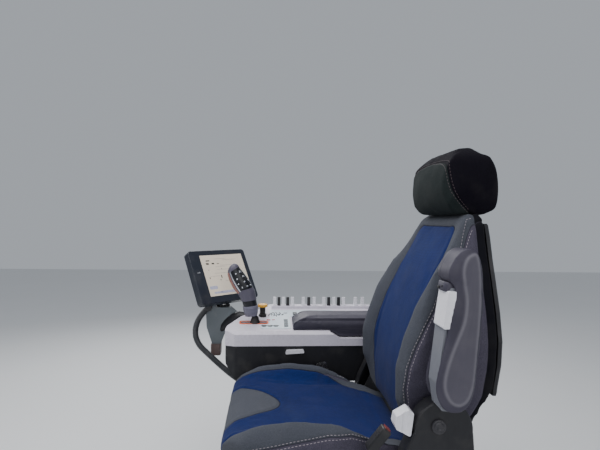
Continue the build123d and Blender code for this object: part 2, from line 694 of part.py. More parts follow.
def deck_plane(x, y):
    """A plane lying on the sloping deck, its X pointing inwards and its Y to the rear."""
    slope = DECK_RISE / CONSOLE_WIDTH
    return Plane(origin=(x, y, deck_z(x)), x_dir=(1, 0, -slope), z_dir=(slope, 0, 1))


def deck_form(inset, low):
    """The deck's outer form above a height, moved in by the inset."""
    near, far = CONSOLE_X + 1, out(CONSOLE_WIDTH + 1)
    section = outline([
        (near, low), (near, deck_z(near, 10 + inset)), (near - 11, deck_z(near - 11, inset)),
        (far, deck_z(far, inset)), (far, low),
    ])
    prism = along_y(section, CONSOLE_FRONT - 40, CONSOLE_REAR + 40)
    return prism & along_z(console_face(inset), low, low + 400)


def elbow_recess(grow):
    """The space above the step in the deck where the elbow pad sits, grown on every side."""
    low, start = deck_z(CONSOLE_X, ELBOW_STEP), CONSOLE_REAR - 218
    high = low + 128
    end = CONSOLE_REAR + 60
    step = outline([(start, high), (start, low + 22), (start + 38, low), (end, low), (end, high)])
    if grow:
        step = offset(step, amount=grow)
    return along_x(step, out(ELBOW_PAD_WIDTH + grow), CONSOLE_X + 5)


def ledge_top():
    """Height of the ledge that the finger levers stand on."""
    return deck_z(out(CONSOLE_WIDTH)) + 2


def console_deck():
    """The pale upper moulding: a sloping deck with a deep rounded rim, stepped down for the elbow pad."""
    cavity = deck_form(CONSOLE_WALL, CONSOLE_RIM_Z - 1)
    start = CONSOLE_FRONT + LEDGE_START
    ledge = box_between(
        (out(CONSOLE_WIDTH - 8), start, ledge_top() - 24),
        (out(CONSOLE_WIDTH - 8 - LEDGE_WIDTH), start + LEDGE_LENGTH, ledge_top()),
    )
    body = deck_form(0, CONSOLE_RIM_Z) - elbow_recess(0)
    body = body - (cavity - elbow_recess(CONSOLE_WALL)) + (ledge - cavity)
    return body - slot_place() * Box(*JOYSTICK_SLOT, 40)


def slot_place():
    """The plane of the joystick's slot, its X across the slot and its Y along it."""
    return deck_plane(out(JOYSTICK_OUT), joystick_y() - 7)


def joystick_gate():
    """The orange brush strip round the joystick's slot."""
    width, length = JOYSTICK_SLOT
    strip = RectangleRounded(width + 12, length + 12, 8) - Rectangle(width, length)
    return extrude(slot_place() * strip, PANEL_THICKNESS)


def tub_form(inset):
    """The tub's form, raked at the nose and under the tail, moved in by the inset."""
    top = CONSOLE_RIM_Z + (2 if inset else 0)
    low = CONSOLE_FLOOR_Z + inset
    front, rear = CONSOLE_FRONT + inset, CONSOLE_REAR - inset
    side = outline([
        (front - 2, top), (front + 5, top - 65), (front + 38, low + 8), (front + 64, low), (rear - 44, low),
        (rear - 6, low + 42), (rear - 2, top),
    ])
    plan = console_face(CONSOLE_WALL / 2 + inset)
    return along_x(side, out(CONSOLE_WIDTH), CONSOLE_X) & along_z(plan, low - 1, top + 1)


def console_tub():
    """The dark tub under the deck, raked at the nose."""
    return tub_form(0) - tub_form(CONSOLE_WALL) - conduit()


def console_arm():
    """The steel arm from the pan out to the console's rail."""
    side, base = -PAN_HALF_WIDTH, RAIL_BAR_Z
    near, far = out(RAIL_BAR_OUT - 28), out(RAIL_BAR_OUT + 32)
    return along_y(outline([
        (side, PAN_Z + 17), (side, PAN_Z + 63), (near, base), (far, base), (far, base - 12),
        (near - 8, base - 12), (side - 34, PAN_Z + 17),
    ]), CONSOLE_FRONT + 184, CONSOLE_FRONT + 258)


def rail_bar():
    """The flat rail on the arm that the console slides on."""
    width, height, length = RAIL_BAR
    x, start = out(RAIL_BAR_OUT + width / 2), CONSOLE_FRONT + 139
    return box_between((x, start, RAIL_BAR_Z), (x + width, start + length, RAIL_BAR_Z + height))


def console_runner():
    """The channel under the console that holds the rail."""
    width, height = RAIL_BAR[:2]
    start, end = CONSOLE_FRONT + 204, CONSOLE_FRONT + 404
    half = width / 2 + RAIL_BAR_PLAY
    low, roof = RAIL_BAR_Z + RAIL_BAR_PLAY, RAIL_BAR_Z + height + RAIL_PLAY
    x = out(RAIL_BAR_OUT)
    runner = box_between((x - half - 10, start, low), (x + half + 10, end, CONSOLE_FLOOR_Z))
    return runner - box_between((x - half, start - 1, low - 1), (x + half, end + 1, roof))


def release_lever():
    """The pale lever that frees the console, on the tub's near wall."""
    x = out(CONSOLE_WALL / 2)
    points = shifted([(-138, -27), (-134, -13), (-74, -11), (-70, -23)], 0, CONSOLE_RIM_Z)
    return along_x(outline(points, 3), x, x + 10)


def joystick_y():
    """The y of the joystick's stem at the deck."""
    return CONSOLE_FRONT + JOYSTICK_BACK


# distance outwards from the console's near side, and behind the joystick
PANEL_PLAN = [(214, 52), (214, 306), (144, 306), (144, 128), (28, 128), (28, 20), (62, 20), (66, 52)]


def control_panel():
    """The pale overlay on the deck between the joystick and the elbow pad, with a wing beside the pad."""
    slab = deck_form(-PANEL_THICKNESS, CONSOLE_RIM_Z + 20) - deck_form(0, CONSOLE_RIM_Z + 10)
    plan = outline([(out(x), joystick_y() + y) for x, y in PANEL_PLAN], [8, 8, 4, 8, 6, 10, 10, 6])
    return slab & along_z(plan, CONSOLE_RIM_Z, CONSOLE_RIM_Z + 200)


# first key's distance outwards and behind the joystick, step outwards, step back, number, width, length
KEY_ROWS = [
    (50, 31, 0, 21.5, 3, 9, 15),
    (49, 112, 19, 0, 4, 8, 15),
    (174, 150, 0, 26, 6, 24, 16),
]


def panel_keys():
    """The keys on the overlay."""
    place = deck_plane(out(JOYSTICK_OUT), joystick_y()).offset(PANEL_THICKNESS)
    keys = []
    for first_out, first_back, step_out, step_back, number, width, length in KEY_ROWS:
        for n in range(number):
            at = Pos(JOYSTICK_OUT - first_out - n * step_out, first_back + n * step_back)
            keys.append(extrude(place * (at * RectangleRounded(width, length, 2)), KEY_HEIGHT))
    return Compound(children=keys)


# y from the ledge's front end, and whether the lever is black
FINGER_LEVERS = [
    (13, 0), (31, 1), (49, 0), (67, 1), (86, 0), (131, 0), (154, 1), (176, 0), (216, 0), (237, 1), (258, 0),
    (278, 1), (298, 0), (348, 0), (378, 0),
]


def finger_levers(black):
    """Flattened finger levers standing in a row on the far ledge."""
    x = out(CONSOLE_WIDTH - 8 - LEDGE_WIDTH / 2)
    blade = along_y(outline([(-9, 0), (9, 0), (4, 34), (-2, 34)], 1.5), -6, 6)
    lever = blade + along_z(RectangleRounded(24, 14, 4), 0, 4)
    rows = [y for y, dark in FINGER_LEVERS if dark == black]
    return Compound(children=[Pos(x, CONSOLE_FRONT + LEDGE_START + y, ledge_top()) * lever for y in rows])


def stop_knob_place():
    """Where the knob's axis meets the deck."""
    x = out(STOP_KNOB_OUT)
    return x, joystick_y() + STOP_KNOB_BACK, deck_z(x)


def stop_knob():
    """The stalk of the mushroom knob behind the joystick, on its collar."""
    x, y, z = stop_knob_place()
    collar = rod((x, y, z - 8), (x, y, z + 9), 15) - deck_form(0, CONSOLE_RIM_Z)
    return collar + rod((x, y, z + 9), (x, y, z + STOP_KNOB_HEIGHT), 11)


def stop_knob_cap():
    """The mushroom cap."""
    x, y, z = stop_knob_place()
    cap = rod((x, y, z + STOP_KNOB_HEIGHT), (x, y, z + STOP_KNOB_HEIGHT + 10), 19)
    return fillet(cap.edges().sort_by(Axis.Z)[-1], 4)


# x and y from the joystick's gate, height above the deck, half width across, half length along the seat
GRIP_SPINE = [
    (0, -6, 33, 20, 22),
    (0, -10, 57, 25, 29),
    (0, -16, 83, 26, 31),
    (0, -26, 121, 25, 30),
    (2, -48, 167, 25, 31),
    (4, -72, 203, 25, 30),
    (5, -86, 223, 15, 17),
]


def joystick_stem():
    """The stem through its gate in the deck, and the rubber boot under the grip."""
    x, y = out(JOYSTICK_OUT), joystick_y()
    z = deck_z(x)
    boot = Pos(x, y - 3, z + 10) * Cone(19, 12, 26)
    return rod((x, y, z - 16), (x, y - 6, z + 43), 8) + (boot - deck_form(-1.1 * PANEL_THICKNESS, CONSOLE_RIM_Z))


def joystick_grip():
    """The forward-leaning hand grip."""
    origin = Vector(out(JOYSTICK_OUT), joystick_y(), deck_z(out(JOYSTICK_OUT)))
    faces = []
    for x, y, z, half_x, half_y in GRIP_SPINE:
        lean = radians(0.55 * (-y - 6))
        plane = Plane(origin=origin + Vector(x, y, z), x_dir=(1, 0, 0), z_dir=(0, -sin(lean), cos(lean)))
        faces.append(plane * Ellipse(half_x, half_y))
    return loft(faces) - joystick_stem()


def elbow_pad():
    """The soft pad on the rear of the deck, stepped to fit it."""
    low = deck_z(CONSOLE_X, ELBOW_STEP)
    top = deck_z(CONSOLE_X) + ELBOW_PAD_HEIGHT
    front, rear = CONSOLE_FRONT + ELBOW_PAD_FRONT, CONSOLE_REAR - 8
    side = outline([
        (front, top - 18), (front, low + 2), (rear, low), (rear, top), (front + 32, top),
    ], [10, 1, 2, 12, 26])
    pad = along_x(side, out(ELBOW_PAD_WIDTH - 3), out(12))
    return pad - (deck_form(0, CONSOLE_RIM_Z) - elbow_recess(0))


# Monitor and its bracket

def monitor_plane():
    """The plane of the monitor's face: Z towards the sitter, Y up the screen."""
    yaw, tilt = radians(MONITOR_YAW), radians(MONITOR_TILT)
    facing = Vector(sin(yaw), cos(yaw), 0)
    normal = facing * cos(tilt) + Vector(0, 0, sin(tilt))
    up = Vector(0, 0, cos(tilt)) - facing * sin(tilt)
    centre = (out(MONITOR_OUT), CONSOLE_FRONT - MONITOR_AHEAD, CONSOLE_RIM_Z + MONITOR_RISE)
    return Plane(origin=centre, x_dir=up.cross(normal), z_dir=normal)


def monitor_housing():
    """The monitor's housing with its screen recess, rear bulge and hinge lug."""
    width, height, depth = MONITOR_SIZE
    screen_w, screen_h, screen_t = SCREEN_SIZE
    body = Pos(0, 0, -depth / 2) * Box(width, height, depth)
    body = fillet(body.edges().filter_by(Axis.Z), 14)
    body = fillet(body.edges().group_by(Axis.Z)[0], 6)
    body = chamfer(body.edges().group_by(Axis.Z)[-1], 2.5)
    body -= Pos(SCREEN_OFFSET[0], SCREEN_OFFSET[1], -screen_t / 2) * Box(screen_w, screen_h, screen_t)
    bulge = Pos(0, 16, -depth - 8) * Box(width - 90, height - 76, 16)
    body += fillet(bulge.edges().filter_by(Axis.Z), 10)
    pin_y = MONITOR_HINGE_RISE - height / 2
    pin_z = -depth - MONITOR_HINGE_SETBACK
    lug = Pos(0, pin_y, pin_z) * Rot(0, 90, 0) * Cylinder(9, 20)
    lug += Pos(0, pin_y, pin_z / 2 - depth / 2) * Box(20, 16, MONITOR_HINGE_SETBACK)
    lug -= Pos(0, pin_y, pin_z) * Rot(0, 90, 0) * Cylinder(MONITOR_PIN_RADIUS + PIN_PLAY, 40)
    return monitor_plane() * (body + lug)


def monitor_screen():
    """The pane in its recess."""
    screen_w, screen_h, screen_t = SCREEN_SIZE
    pane = Pos(SCREEN_OFFSET[0], SCREEN_OFFSET[1], -screen_t / 2) * Box(screen_w, screen_h, screen_t)
    return monitor_plane() * pane


def hinge_point():
    """The middle of the monitor's hinge pin, behind its lower edge."""
    height, depth = MONITOR_SIZE[1:]
    place = monitor_plane() * Pos(0, MONITOR_HINGE_RISE - height / 2, -depth - MONITOR_HINGE_SETBACK)
    return place.position


def monitor_yoke():
    """The fork and pin that carry the monitor, turned towards the sitter on the head of the bracket."""
    pin = hinge_point()
    place = Pos(pin.X, pin.Y, pin.Z - YOKE_RISE) * Rot(0, 0, 180 - MONITOR_YAW)
    fork = Pos(0, 4, 4) * Box(YOKE_LENGTH, 24, 8)
    for side in (-16, 16):
        fork += Pos(side, 0, YOKE_RISE / 2) * Box(6, 18, YOKE_RISE)
        fork += Pos(side, 0, YOKE_RISE) * Rot(0, 90, 0) * Cylinder(9, 6)
    fork += Pos(0, 0, YOKE_RISE) * Rot(0, 90, 0) * Cylinder(MONITOR_PIN_RADIUS, YOKE_LENGTH - 6)
    return place * fork


def bracket_slab(points, radii, low, high):
    """A profile in (y, z), measured from the monitor's hinge and the console's rim, across the bracket."""
    pin = hinge_point()
    face = outline(shifted(points, pin.Y, CONSOLE_RIM_Z), radii)
    return along_x(face, pin.X + low, pin.X + high)


def monitor_bracket():
    """The broad gusset that reaches forwards from the console's outer corner up to the monitor."""
    head = hinge_point().Z - YOKE_RISE - CONSOLE_RIM_Z
    points = [
        (-70, head + 20), (-34, head + 20), (-29, head), (25, head), (59, 69), (167, 59), (167, 17), (11, 7),
        (-9, -45), (-43, -45), (-65, 21),
    ]
    arm = bracket_slab(points, [6, 4, 3, 8, 40, 1, 1, 30, 6, 6, 50], -19, BRACKET_WIDTH - 19)
    return arm - along_z(console_face(0), CONSOLE_RIM_Z - 100, CONSOLE_RIM_Z + 200)


def bracket_clamp():
    """The clamp block at the foot of the bracket."""
    pin = hinge_point()
    low = (pin.X - 25, pin.Y - 47, CONSOLE_RIM_Z - 89)
    high = (pin.X + BRACKET_WIDTH - 11, pin.Y - 9, CONSOLE_RIM_Z - 45)
    return fillet(box_between(low, high).edges().filter_by(Axis.Z), 5)


# x, y and z from the console's near front corner at its rim, from the bracket's head to the console's floor
CONDUIT_ROUTE = [
    (-183, -82, 101), (-178, -106, 75), (-172, -124, 43), (-168, -129, 1), (-165, -114, -39),
    (-164, -82, -70), (-164, -47, -103), (-164, -10, -136), (-164, 30, -169), (-164, 74, -193),
    (-164, 120, -203), (-164, 165, -193), (-164, 199, -162), (-164, 215, -121),
]


def conduit_path():
    """The conduit's centre line, every corner rounded as far as its neighbours allow."""
    corner = Vector(CONSOLE_X, CONSOLE_FRONT, CONSOLE_RIM_Z)
    points = [corner + Vector(*p) for p in CONDUIT_ROUTE]
    radii = []
    for before, here, after in zip(points, points[1:], points[2:]):
        turn = radians((here - before).get_angle(after - here))
        radii.append(0.45 * min((here - before).length, (after - here).length) / tan(turn / 2))
    return FilletPolyline(*points, radius=radii), radii


def conduit():
    """The corrugated conduit that loops from the bracket down under the console."""
    path, radii = conduit_path()
    return sweep(Plane(origin=path @ 0, z_dir=path % 0) * Circle(CONDUIT_RADIUS), path=path) - gland_block()


def gland_block():
    """The block on the bracket's near side that the conduit comes out of."""
    pin = hinge_point()
    x, y, z = pin.X + BRACKET_WIDTH - 19, pin.Y - 69, pin.Z - YOKE_RISE - 10
    block = box_between((x, y, z), (x + 26, y + 24, z + 26))
    return fillet(block.edges().filter_by(Axis.X), 5)


def conduit_glands():
    """The gland block on the bracket and the gland ring under the tub's floor."""
    route_x, route_y = CONDUIT_ROUTE[-1][:2]
    end = Vector(CONSOLE_X + route_x, CONSOLE_FRONT + route_y, CONSOLE_FLOOR_Z)
    ring = rod(end - Vector(0, 0, 10), end, CONDUIT_RADIUS + 6) - conduit()
    return Compound(children=[gland_block(), ring])


NODES = {
    "floor_plate": floor_plate,
    "lower_frame": lower_frame,
    "gaiter": gaiter,
    "suspension_tube": suspension_tube,
    "upper_frame": upper_frame,
    "weight_lever": weight_lever,
    "slide_rails": slide_rails,
    "slide_runners": slide_runners,
    "fore_aft_bar": fore_aft_bar,
    "seat_pan": seat_pan,
    "cushion": cushion,
    "side_plates": side_plates,
    "side_cover_left": lambda: side_cover(1),
    "side_cover_right": lambda: side_cover(-1),
    "recline_lever": recline_lever,
    "belt_buckle": belt_buckle,
    "buckle_button": buckle_button,
    "belt_retractor": belt_retractor,
    "belt_tongue": belt_tongue,
    "back_cushion": back_cushion,
    "back_arms": back_arms,
    "back_moulding": back_moulding,
    "headrest_guides": headrest_guides,
    "headrest_pad": headrest_pad,
    "headrest_rods": headrest_rods,
    "armrest_bracket": armrest_bracket,
    "armrest_arm": armrest_arm,
    "armrest_pad": armrest_pad,
    "armrest_grip": armrest_grip,
    "console_arm": console_arm,
    "rail_bar": rail_bar,
    "console_runner": console_runner,
    "console_tub": console_tub,
    "console_deck": console_deck,
    "release_lever": release_lever,
    "joystick_gate": joystick_gate,
    "control_panel": control_panel,
    "panel_keys": panel_keys,
    "finger_levers_grey": lambda: finger_levers(0),
    "finger_levers_black": lambda: finger_levers(1),
    "stop_knob": stop_knob,
    "stop_knob_cap": stop_knob_cap,
    "joystick_stem": joystick_stem,
    "joystick_grip": joystick_grip,
    "elbow_pad": elbow_pad,
    "monitor_bracket": monitor_bracket,
    "bracket_clamp": bracket_clamp,
    "monitor_yoke": monitor_yoke,
    "monitor_housing": monitor_housing,
    "monitor_screen": monitor_screen,
    "conduit": conduit,
    "conduit_glands": conduit_glands,
}

os.makedirs("parts", exist_ok=True)
for node, make in NODES.items():
    export_step(make(), f"parts/{node}.step")

print("conduit bend radii in mm:", [round(radius) for radius in conduit_path()[1]])
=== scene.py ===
"""Dresses the operator's seat with its armrest control console and its monitor.

Every piece stands in the CAD model's own frame, in metres: X to the sitter's left, Y to the rear, Z up.
"""

import json
import math

import bmesh
import bpy
import numpy as np
from bpy.props import FloatProperty, FloatVectorProperty, IntProperty, PointerProperty
from bpy.types import Operator, Panel, PropertyGroup
from mathutils import Matrix, Vector, noise

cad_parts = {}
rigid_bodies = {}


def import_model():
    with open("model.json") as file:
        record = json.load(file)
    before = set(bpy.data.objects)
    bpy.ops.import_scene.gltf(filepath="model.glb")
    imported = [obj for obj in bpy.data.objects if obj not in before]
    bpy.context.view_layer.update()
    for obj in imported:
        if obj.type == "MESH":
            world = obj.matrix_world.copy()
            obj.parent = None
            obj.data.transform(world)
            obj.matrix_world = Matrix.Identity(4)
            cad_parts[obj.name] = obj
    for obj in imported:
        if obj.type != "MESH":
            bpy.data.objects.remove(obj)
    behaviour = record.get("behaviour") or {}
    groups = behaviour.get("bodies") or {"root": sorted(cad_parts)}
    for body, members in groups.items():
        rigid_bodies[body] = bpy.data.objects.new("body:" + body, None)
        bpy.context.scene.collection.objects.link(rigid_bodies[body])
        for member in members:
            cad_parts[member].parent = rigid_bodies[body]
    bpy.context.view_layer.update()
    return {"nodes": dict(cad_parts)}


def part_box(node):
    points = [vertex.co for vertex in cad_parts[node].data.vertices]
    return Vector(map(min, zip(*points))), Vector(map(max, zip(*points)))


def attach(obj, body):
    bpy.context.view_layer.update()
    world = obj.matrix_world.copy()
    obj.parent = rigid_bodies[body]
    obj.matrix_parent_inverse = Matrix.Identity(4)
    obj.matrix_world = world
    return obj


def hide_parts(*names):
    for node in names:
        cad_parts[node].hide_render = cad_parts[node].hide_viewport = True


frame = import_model()

bl_info = {
    "name": "Operator's seat and console",
    "version": (1, 0, 0),
    "blender": (4, 5, 0),
    "location": "View3D > Sidebar > Upholstery",
    "description": "Upholsters and finishes a suspension seat with its control console",
    "category": "Object",
}


# Sizes and colours that a user would change


def colour_property(label, description, default):
    """A colour swatch with its label and what it colours."""
    return FloatVectorProperty(
        name=label, description=description, default=default, size=3, min=0, max=1, subtype="COLOR"
    )


def length_property(label, description, default):
    """A length in metres with its label and what it sets."""
    return FloatProperty(name=label, description=description, default=default, min=0, unit="LENGTH")


class CoverSettings(PropertyGroup):
    """The upholstery: its cloths, seams and stitches."""

    centre: colour_property("Centre cloth", "Ribbed cloth where the sitter rests", (0.0075, 0.0175, 0.088))
    bolster: colour_property("Bolster cloth", "Plain cloth on the bolsters", (0.070, 0.075, 0.092))
    side: colour_property("Side cloth", "Cloth on the sides, outside the double seam", (0.066, 0.060, 0.084))
    rear: colour_property("Rear trim", "Black trim behind the side cloth", (0.006, 0.006, 0.009))
    headrest: colour_property("Headrest front", "Soft cloth on the front of the headrest", (0.0155, 0.0205, 0.0210))
    headrest_side: colour_property("Headrest side", "Cloth on the sides of the headrest", (0.0050, 0.0040, 0.0075))
    thread: colour_property("Thread", "Thread of the double seams", (0.36, 0.31, 0.34))
    dark_thread: colour_property("Headrest thread", "Thread of the headrest's seam", (0.060, 0.034, 0.042))
    seam_depth: length_property("Seam depth", "How far a seam pulls the cloth in", 0.0022)
    seam_width: length_property("Seam width", "Half width of the valley at a seam", 0.0036)
    stitch_length: length_property("Stitch length", "Length of one stitch", 0.0062)
    stitch_pitch: length_property("Stitch pitch", "From one stitch to the next", 0.0088)
    stitch_gauge: length_property("Stitch gauge", "From the seam to each row of stitches", 0.0052)
    rib_pitch: length_property("Rib pitch", "Width of one rib of the centre cloth", 0.0034)
    pressure: FloatProperty(
        name="Filling pressure", description="How hard the foam presses on its cover", default=4.0, min=0
    )


class MouldingSettings(PropertyGroup):
    """The moulded plastics and foam pads."""

    deck: colour_property("Deck", "Upper moulding of the console", (0.66, 0.62, 0.70))
    tub: colour_property("Tub", "Lower moulding of the console", (0.010, 0.010, 0.013))
    panel: colour_property("Panel", "Control panel on the deck", (0.60, 0.68, 0.74))
    keys: colour_property("Keys", "Keys on the panel", (0.020, 0.030, 0.036))
    gate: colour_property("Gate", "Slot round the joystick's neck", (0.62, 0.115, 0.045))
    levers: colour_property("Levers", "Pale finger levers and handles", (0.74, 0.73, 0.78))
    cap: colour_property("Knob cap", "Cap of the stop knob", (0.80, 0.42, 0.06))
    pads: colour_property("Foam pads", "Skin of the armrest and elbow pads", (0.042, 0.038, 0.058))
    arm: colour_property("Armrest frame", "Arm that carries the armrest pad", (0.165, 0.170, 0.195))
    covers: colour_property("Covers", "Hip covers of the carriage", (0.011, 0.011, 0.014))
    grip: colour_property("Joystick grip", "Body of the joystick", (0.092, 0.084, 0.118))
    copper: colour_property("Grip panel", "Side panel of the joystick's head", (0.33, 0.155, 0.125))
    housing: colour_property("Monitor housing", "Frame of the monitor", (0.013, 0.017, 0.028))
    screen: colour_property("Screen", "Face of the monitor", (0.68, 0.60, 0.49))
    grain: length_property("Grain", "Size of the moulded grain", 0.0013)


class FrameSettings(PropertyGroup):
    """The metal frame, the slides and the bellows."""

    paint: colour_property("Paint", "Paint of the frame", (0.022, 0.022, 0.025))
    zinc: colour_property("Zinc", "Plating of the slides", (0.50, 0.49, 0.46))
    bracket: colour_property("Bracket", "Paint of the monitor bracket", (0.13, 0.15, 0.165))
    clamp: colour_property("Clamp", "Clamp under the bracket", (0.115, 0.075, 0.070))
    rubber: colour_property("Bellows", "Rubber of the bellows", (0.020, 0.020, 0.021))
    folds: IntProperty(name="Folds", description="Folds of the bellows", default=5, min=1)
    fold_depth: length_property("Fold depth", "From a fold's crest to its valley", 0.020)


class ConduitSettings(PropertyGroup):
    """The corrugated conduit from the monitor to the console."""

    diameter: length_property("Diameter", "Over the ridges", 0.024)
    pitch: length_property("Ridge pitch", "From one ridge to the next", 0.0046)
    depth: length_property("Ridge depth", "From a ridge to its valley", 0.0018)
    colour: colour_property("Conduit", "Plastic of the conduit", (0.040, 0.042, 0.048))


class StageSettings(PropertyGroup):
    """The floor and the studio light."""

    floor: colour_property("Floor", "Plain floor under the object", (0.74, 0.745, 0.75))
    sky: FloatProperty(name="Sky", description="Strength of the even light", default=0.45, min=0)
    key: FloatProperty(name="Key", description="Strength of the main light", default=66.0, min=0, unit="POWER")
    fill: FloatProperty(name="Fill", description="Strength of the fill light", default=22.0, min=0, unit="POWER")


# Material graphs


class Graph:
    """A node tree under construction."""

    def __init__(self, tree):
        self.tree = tree

    def add(self, kind, inputs=(), **settings):
        """One node with its settings, and its inputs set or joined by name or number."""
        node = self.tree.nodes.new(kind)
        for key, value in settings.items():
            setattr(node, key, value)
        for key, value in dict(inputs).items():
            self.put(value, node.inputs[key])
        return node

    def put(self, value, socket):
        """Joins an output to a socket, or sets the socket's own value."""
        if isinstance(value, bpy.types.NodeSocket):
            self.tree.links.new(value, socket)
        else:
            socket.default_value = value

    def calc(self, operation, first, second=0.5, third=0.5):
        """The result of one Math node."""
        node = self.add("ShaderNodeMath", {0: first, 1: second, 2: third}, operation=operation)
        return node.outputs[0]

    def span(self, value, low, high, start=0.0, end=1.0):
        """A value's range from low to high, mapped to start to end."""
        inputs = {"Value": value, "From Min": low, "From Max": high, "To Min": start, "To Max": end}
        return self.add("ShaderNodeMapRange", inputs, clamp=True).outputs["Result"]


class Finish(Graph):
    """A procedural material on one Principled shader."""

    def __init__(self, name, rough=0.5, metal=0.0, **shader_values):
        self.material = bpy.data.materials.new(name)
        self.material.use_nodes = True
        super().__init__(self.material.node_tree)
        self.shader = self.tree.nodes["Principled BSDF"]
        self.shader.inputs["Roughness"].default_value = rough
        self.shader.inputs["Metallic"].default_value = metal
        for key, value in shader_values.items():
            self.shader.inputs[key.replace("_", " ").title().replace("Ior", "IOR")].default_value = value
        self.place = self.add("ShaderNodeTexCoord").outputs["Object"]
        self.normal = None

    def stretched(self, scale):
        """Object coordinates stretched by a factor on each axis."""
        return self.add("ShaderNodeMapping", {"Vector": self.place, "Scale": scale}).outputs[0]

    def cloud(self, scale, detail=3.0, vector=None):
        """Soft noise from 0 to 1."""
        inputs = {"Vector": vector or self.place, "Scale": scale, "Detail": detail}
        return self.add("ShaderNodeTexNoise", inputs).outputs["Fac"]

    def cells(self, scale, randomness=1.0, feature="F1"):
        """Distance inside packed cells."""
        inputs = {"Vector": self.place, "Scale": scale, "Randomness": randomness}
        return self.add("ShaderNodeTexVoronoi", inputs, feature=feature).outputs["Distance"]

    def attribute(self, name):
        """A value kept on the mesh's points."""
        return self.add("ShaderNodeAttribute", attribute_name=name).outputs["Fac"]

    def mix(self, factor, first, second, mode="MIX"):
        """Two colours mixed by a factor."""
        node = self.add("ShaderNodeMix", data_type="RGBA", blend_type=mode)
        for value, socket in ((factor, 0), (first, 6), (second, 7)):
            self.put(value, node.inputs[socket])
        return node.outputs[2]

    def press(self, height, distance, strength=1.0):
        """Adds relief of a height in metres to the surface."""
        inputs = {"Height": height, "Distance": distance, "Strength": strength}
        if self.normal:
            inputs["Normal"] = self.normal
        self.normal = self.add("ShaderNodeBump", inputs).outputs["Normal"]

    def done(self, colour, rough=None):
        """The material, with its colour, roughness and relief joined to the shader."""
        self.put(colour, self.shader.inputs["Base Color"])
        if rough:
            self.put(rough, self.shader.inputs["Roughness"])
        if self.normal:
            self.put(self.normal, self.shader.inputs["Normal"])
        return self.material


def shade(colour, factor):
    """A colour made lighter or darker, with its alpha."""
    return (*(min(1.0, part * factor) for part in colour), 1.0)


def lean_to(colour, other, share):
    """A colour moved a share of the way to another."""
    return (*(a + (b - a) * share for a, b in zip(colour, other)), 1.0)


DUST = (0.36, 0.33, 0.29)


def moulded(name, colour, grain, rough=0.5, relief=0.00012, dust=0.06):
    """Grained moulded plastic with faint mottling, rubbed patches and dust."""
    f = Finish(name, rough, specular_ior_level=0.4)
    broad = f.span(f.cloud(7, 4), 0.3, 0.7)
    fine = f.span(f.cloud(120, 2), 0.35, 0.65)
    base = f.mix(broad, shade(colour, 0.90), shade(colour, 1.08))
    base = f.mix(f.calc("MULTIPLY", fine, 0.35), base, shade(colour, 1.18))
    dusty = f.span(f.cloud(18, 5), 0.52, 0.78, 0.0, dust)
    base = f.mix(dusty, base, (*DUST, 1))
    f.press(f.cells(1 / grain), relief, 0.6)
    f.press(f.cloud(60, 2), 0.0002, 0.25)
    scuffed = f.span(f.cloud(26, 3, f.stretched((1, 3, 1))), 0.3, 0.7, rough - 0.09, rough + 0.09)
    return f.done(base, scuffed)


def painted(name, colour, rough=0.42, chips=0.5):
    """Sprayed paint with orange peel, small chips and a film of dust."""
    f = Finish(name, rough)
    base = f.mix(f.span(f.cloud(9, 4), 0.3, 0.7), shade(colour, 0.88), shade(colour, 1.14))
    chipped = f.calc("MULTIPLY", f.span(f.cloud(70, 6), 0.66, 0.70), chips)
    base = f.mix(chipped, base, lean_to(colour, (0.30, 0.27, 0.24), 0.6))
    base = f.mix(f.span(f.cloud(14, 5), 0.5, 0.8, 0.0, 0.10), base, (*DUST, 1))
    f.press(f.cloud(230, 1), 0.00012, 0.5)
    f.press(chipped, 0.0002, -0.5)
    return f.done(base, f.span(f.cloud(22, 3), 0.3, 0.7, rough - 0.1, rough + 0.12))


def plated(name, colour, rough=0.34, drawn=(1, 14, 1)):
    """Plated steel with drawing lines and dull patches."""
    f = Finish(name, rough, 1.0)
    lines = f.cloud(120, 2, f.stretched(drawn))
    patches = f.span(f.cloud(20, 5), 0.35, 0.7)
    base = f.mix(patches, shade(colour, 1.10), shade(colour, 0.72))
    base = f.mix(f.span(f.cloud(45, 4), 0.62, 0.74, 0.0, 0.35), base, (0.20, 0.15, 0.10, 1))
    f.press(lines, 0.00005, 0.5)
    return f.done(base, f.span(f.calc("ADD", lines, patches), 0.4, 1.4, rough - 0.1, rough + 0.16))


def rubbery(name, colour, rough=0.68, dust=0.16):
    """Matt rubber with dust and a fine sanded skin."""
    f = Finish(name, rough, specular_ior_level=0.3)
    base = f.mix(f.span(f.cloud(11, 4), 0.3, 0.7), shade(colour, 0.8), shade(colour, 1.3))
    base = f.mix(f.span(f.cloud(24, 6), 0.48, 0.8, 0.0, dust), base, (*DUST, 1))
    f.press(f.cloud(700, 2), 0.00008, 0.6)
    f.press(f.cells(260), 0.00006, 0.4)
    return f.done(base, f.span(f.cloud(30, 3), 0.3, 0.7, rough - 0.12, rough + 0.1))


def foam_skin(name, colour, dust=0.05):
    """Leathery skin of moulded foam, painted lighter where its lightening value is high: a painted highlight along the
    armrest's ridge.
    """
    f = Finish(name, 0.55, specular_ior_level=0.35)
    base = f.mix(f.span(f.cloud(8, 4), 0.3, 0.7), shade(colour, 0.86), shade(colour, 1.14))
    # Lighter where the lightening value is high: on the armrest this is a painted highlight along its ridge and panel.
    lightened = f.span(f.attribute("wear"), 0.0, 1.0, 0.0, 0.62)
    base = f.mix(lightened, base, lean_to(colour, (0.50, 0.48, 0.52), 0.30))
    base = f.mix(f.span(f.cloud(16, 5), 0.5, 0.8, 0.0, dust), base, (*DUST, 1))
    f.press(f.cells(620), 0.00016, 0.7)
    f.press(f.cells(1500), 0.00006, 0.5)
    return f.done(base, f.span(f.cloud(28, 3), 0.3, 0.7, 0.46, 0.66))


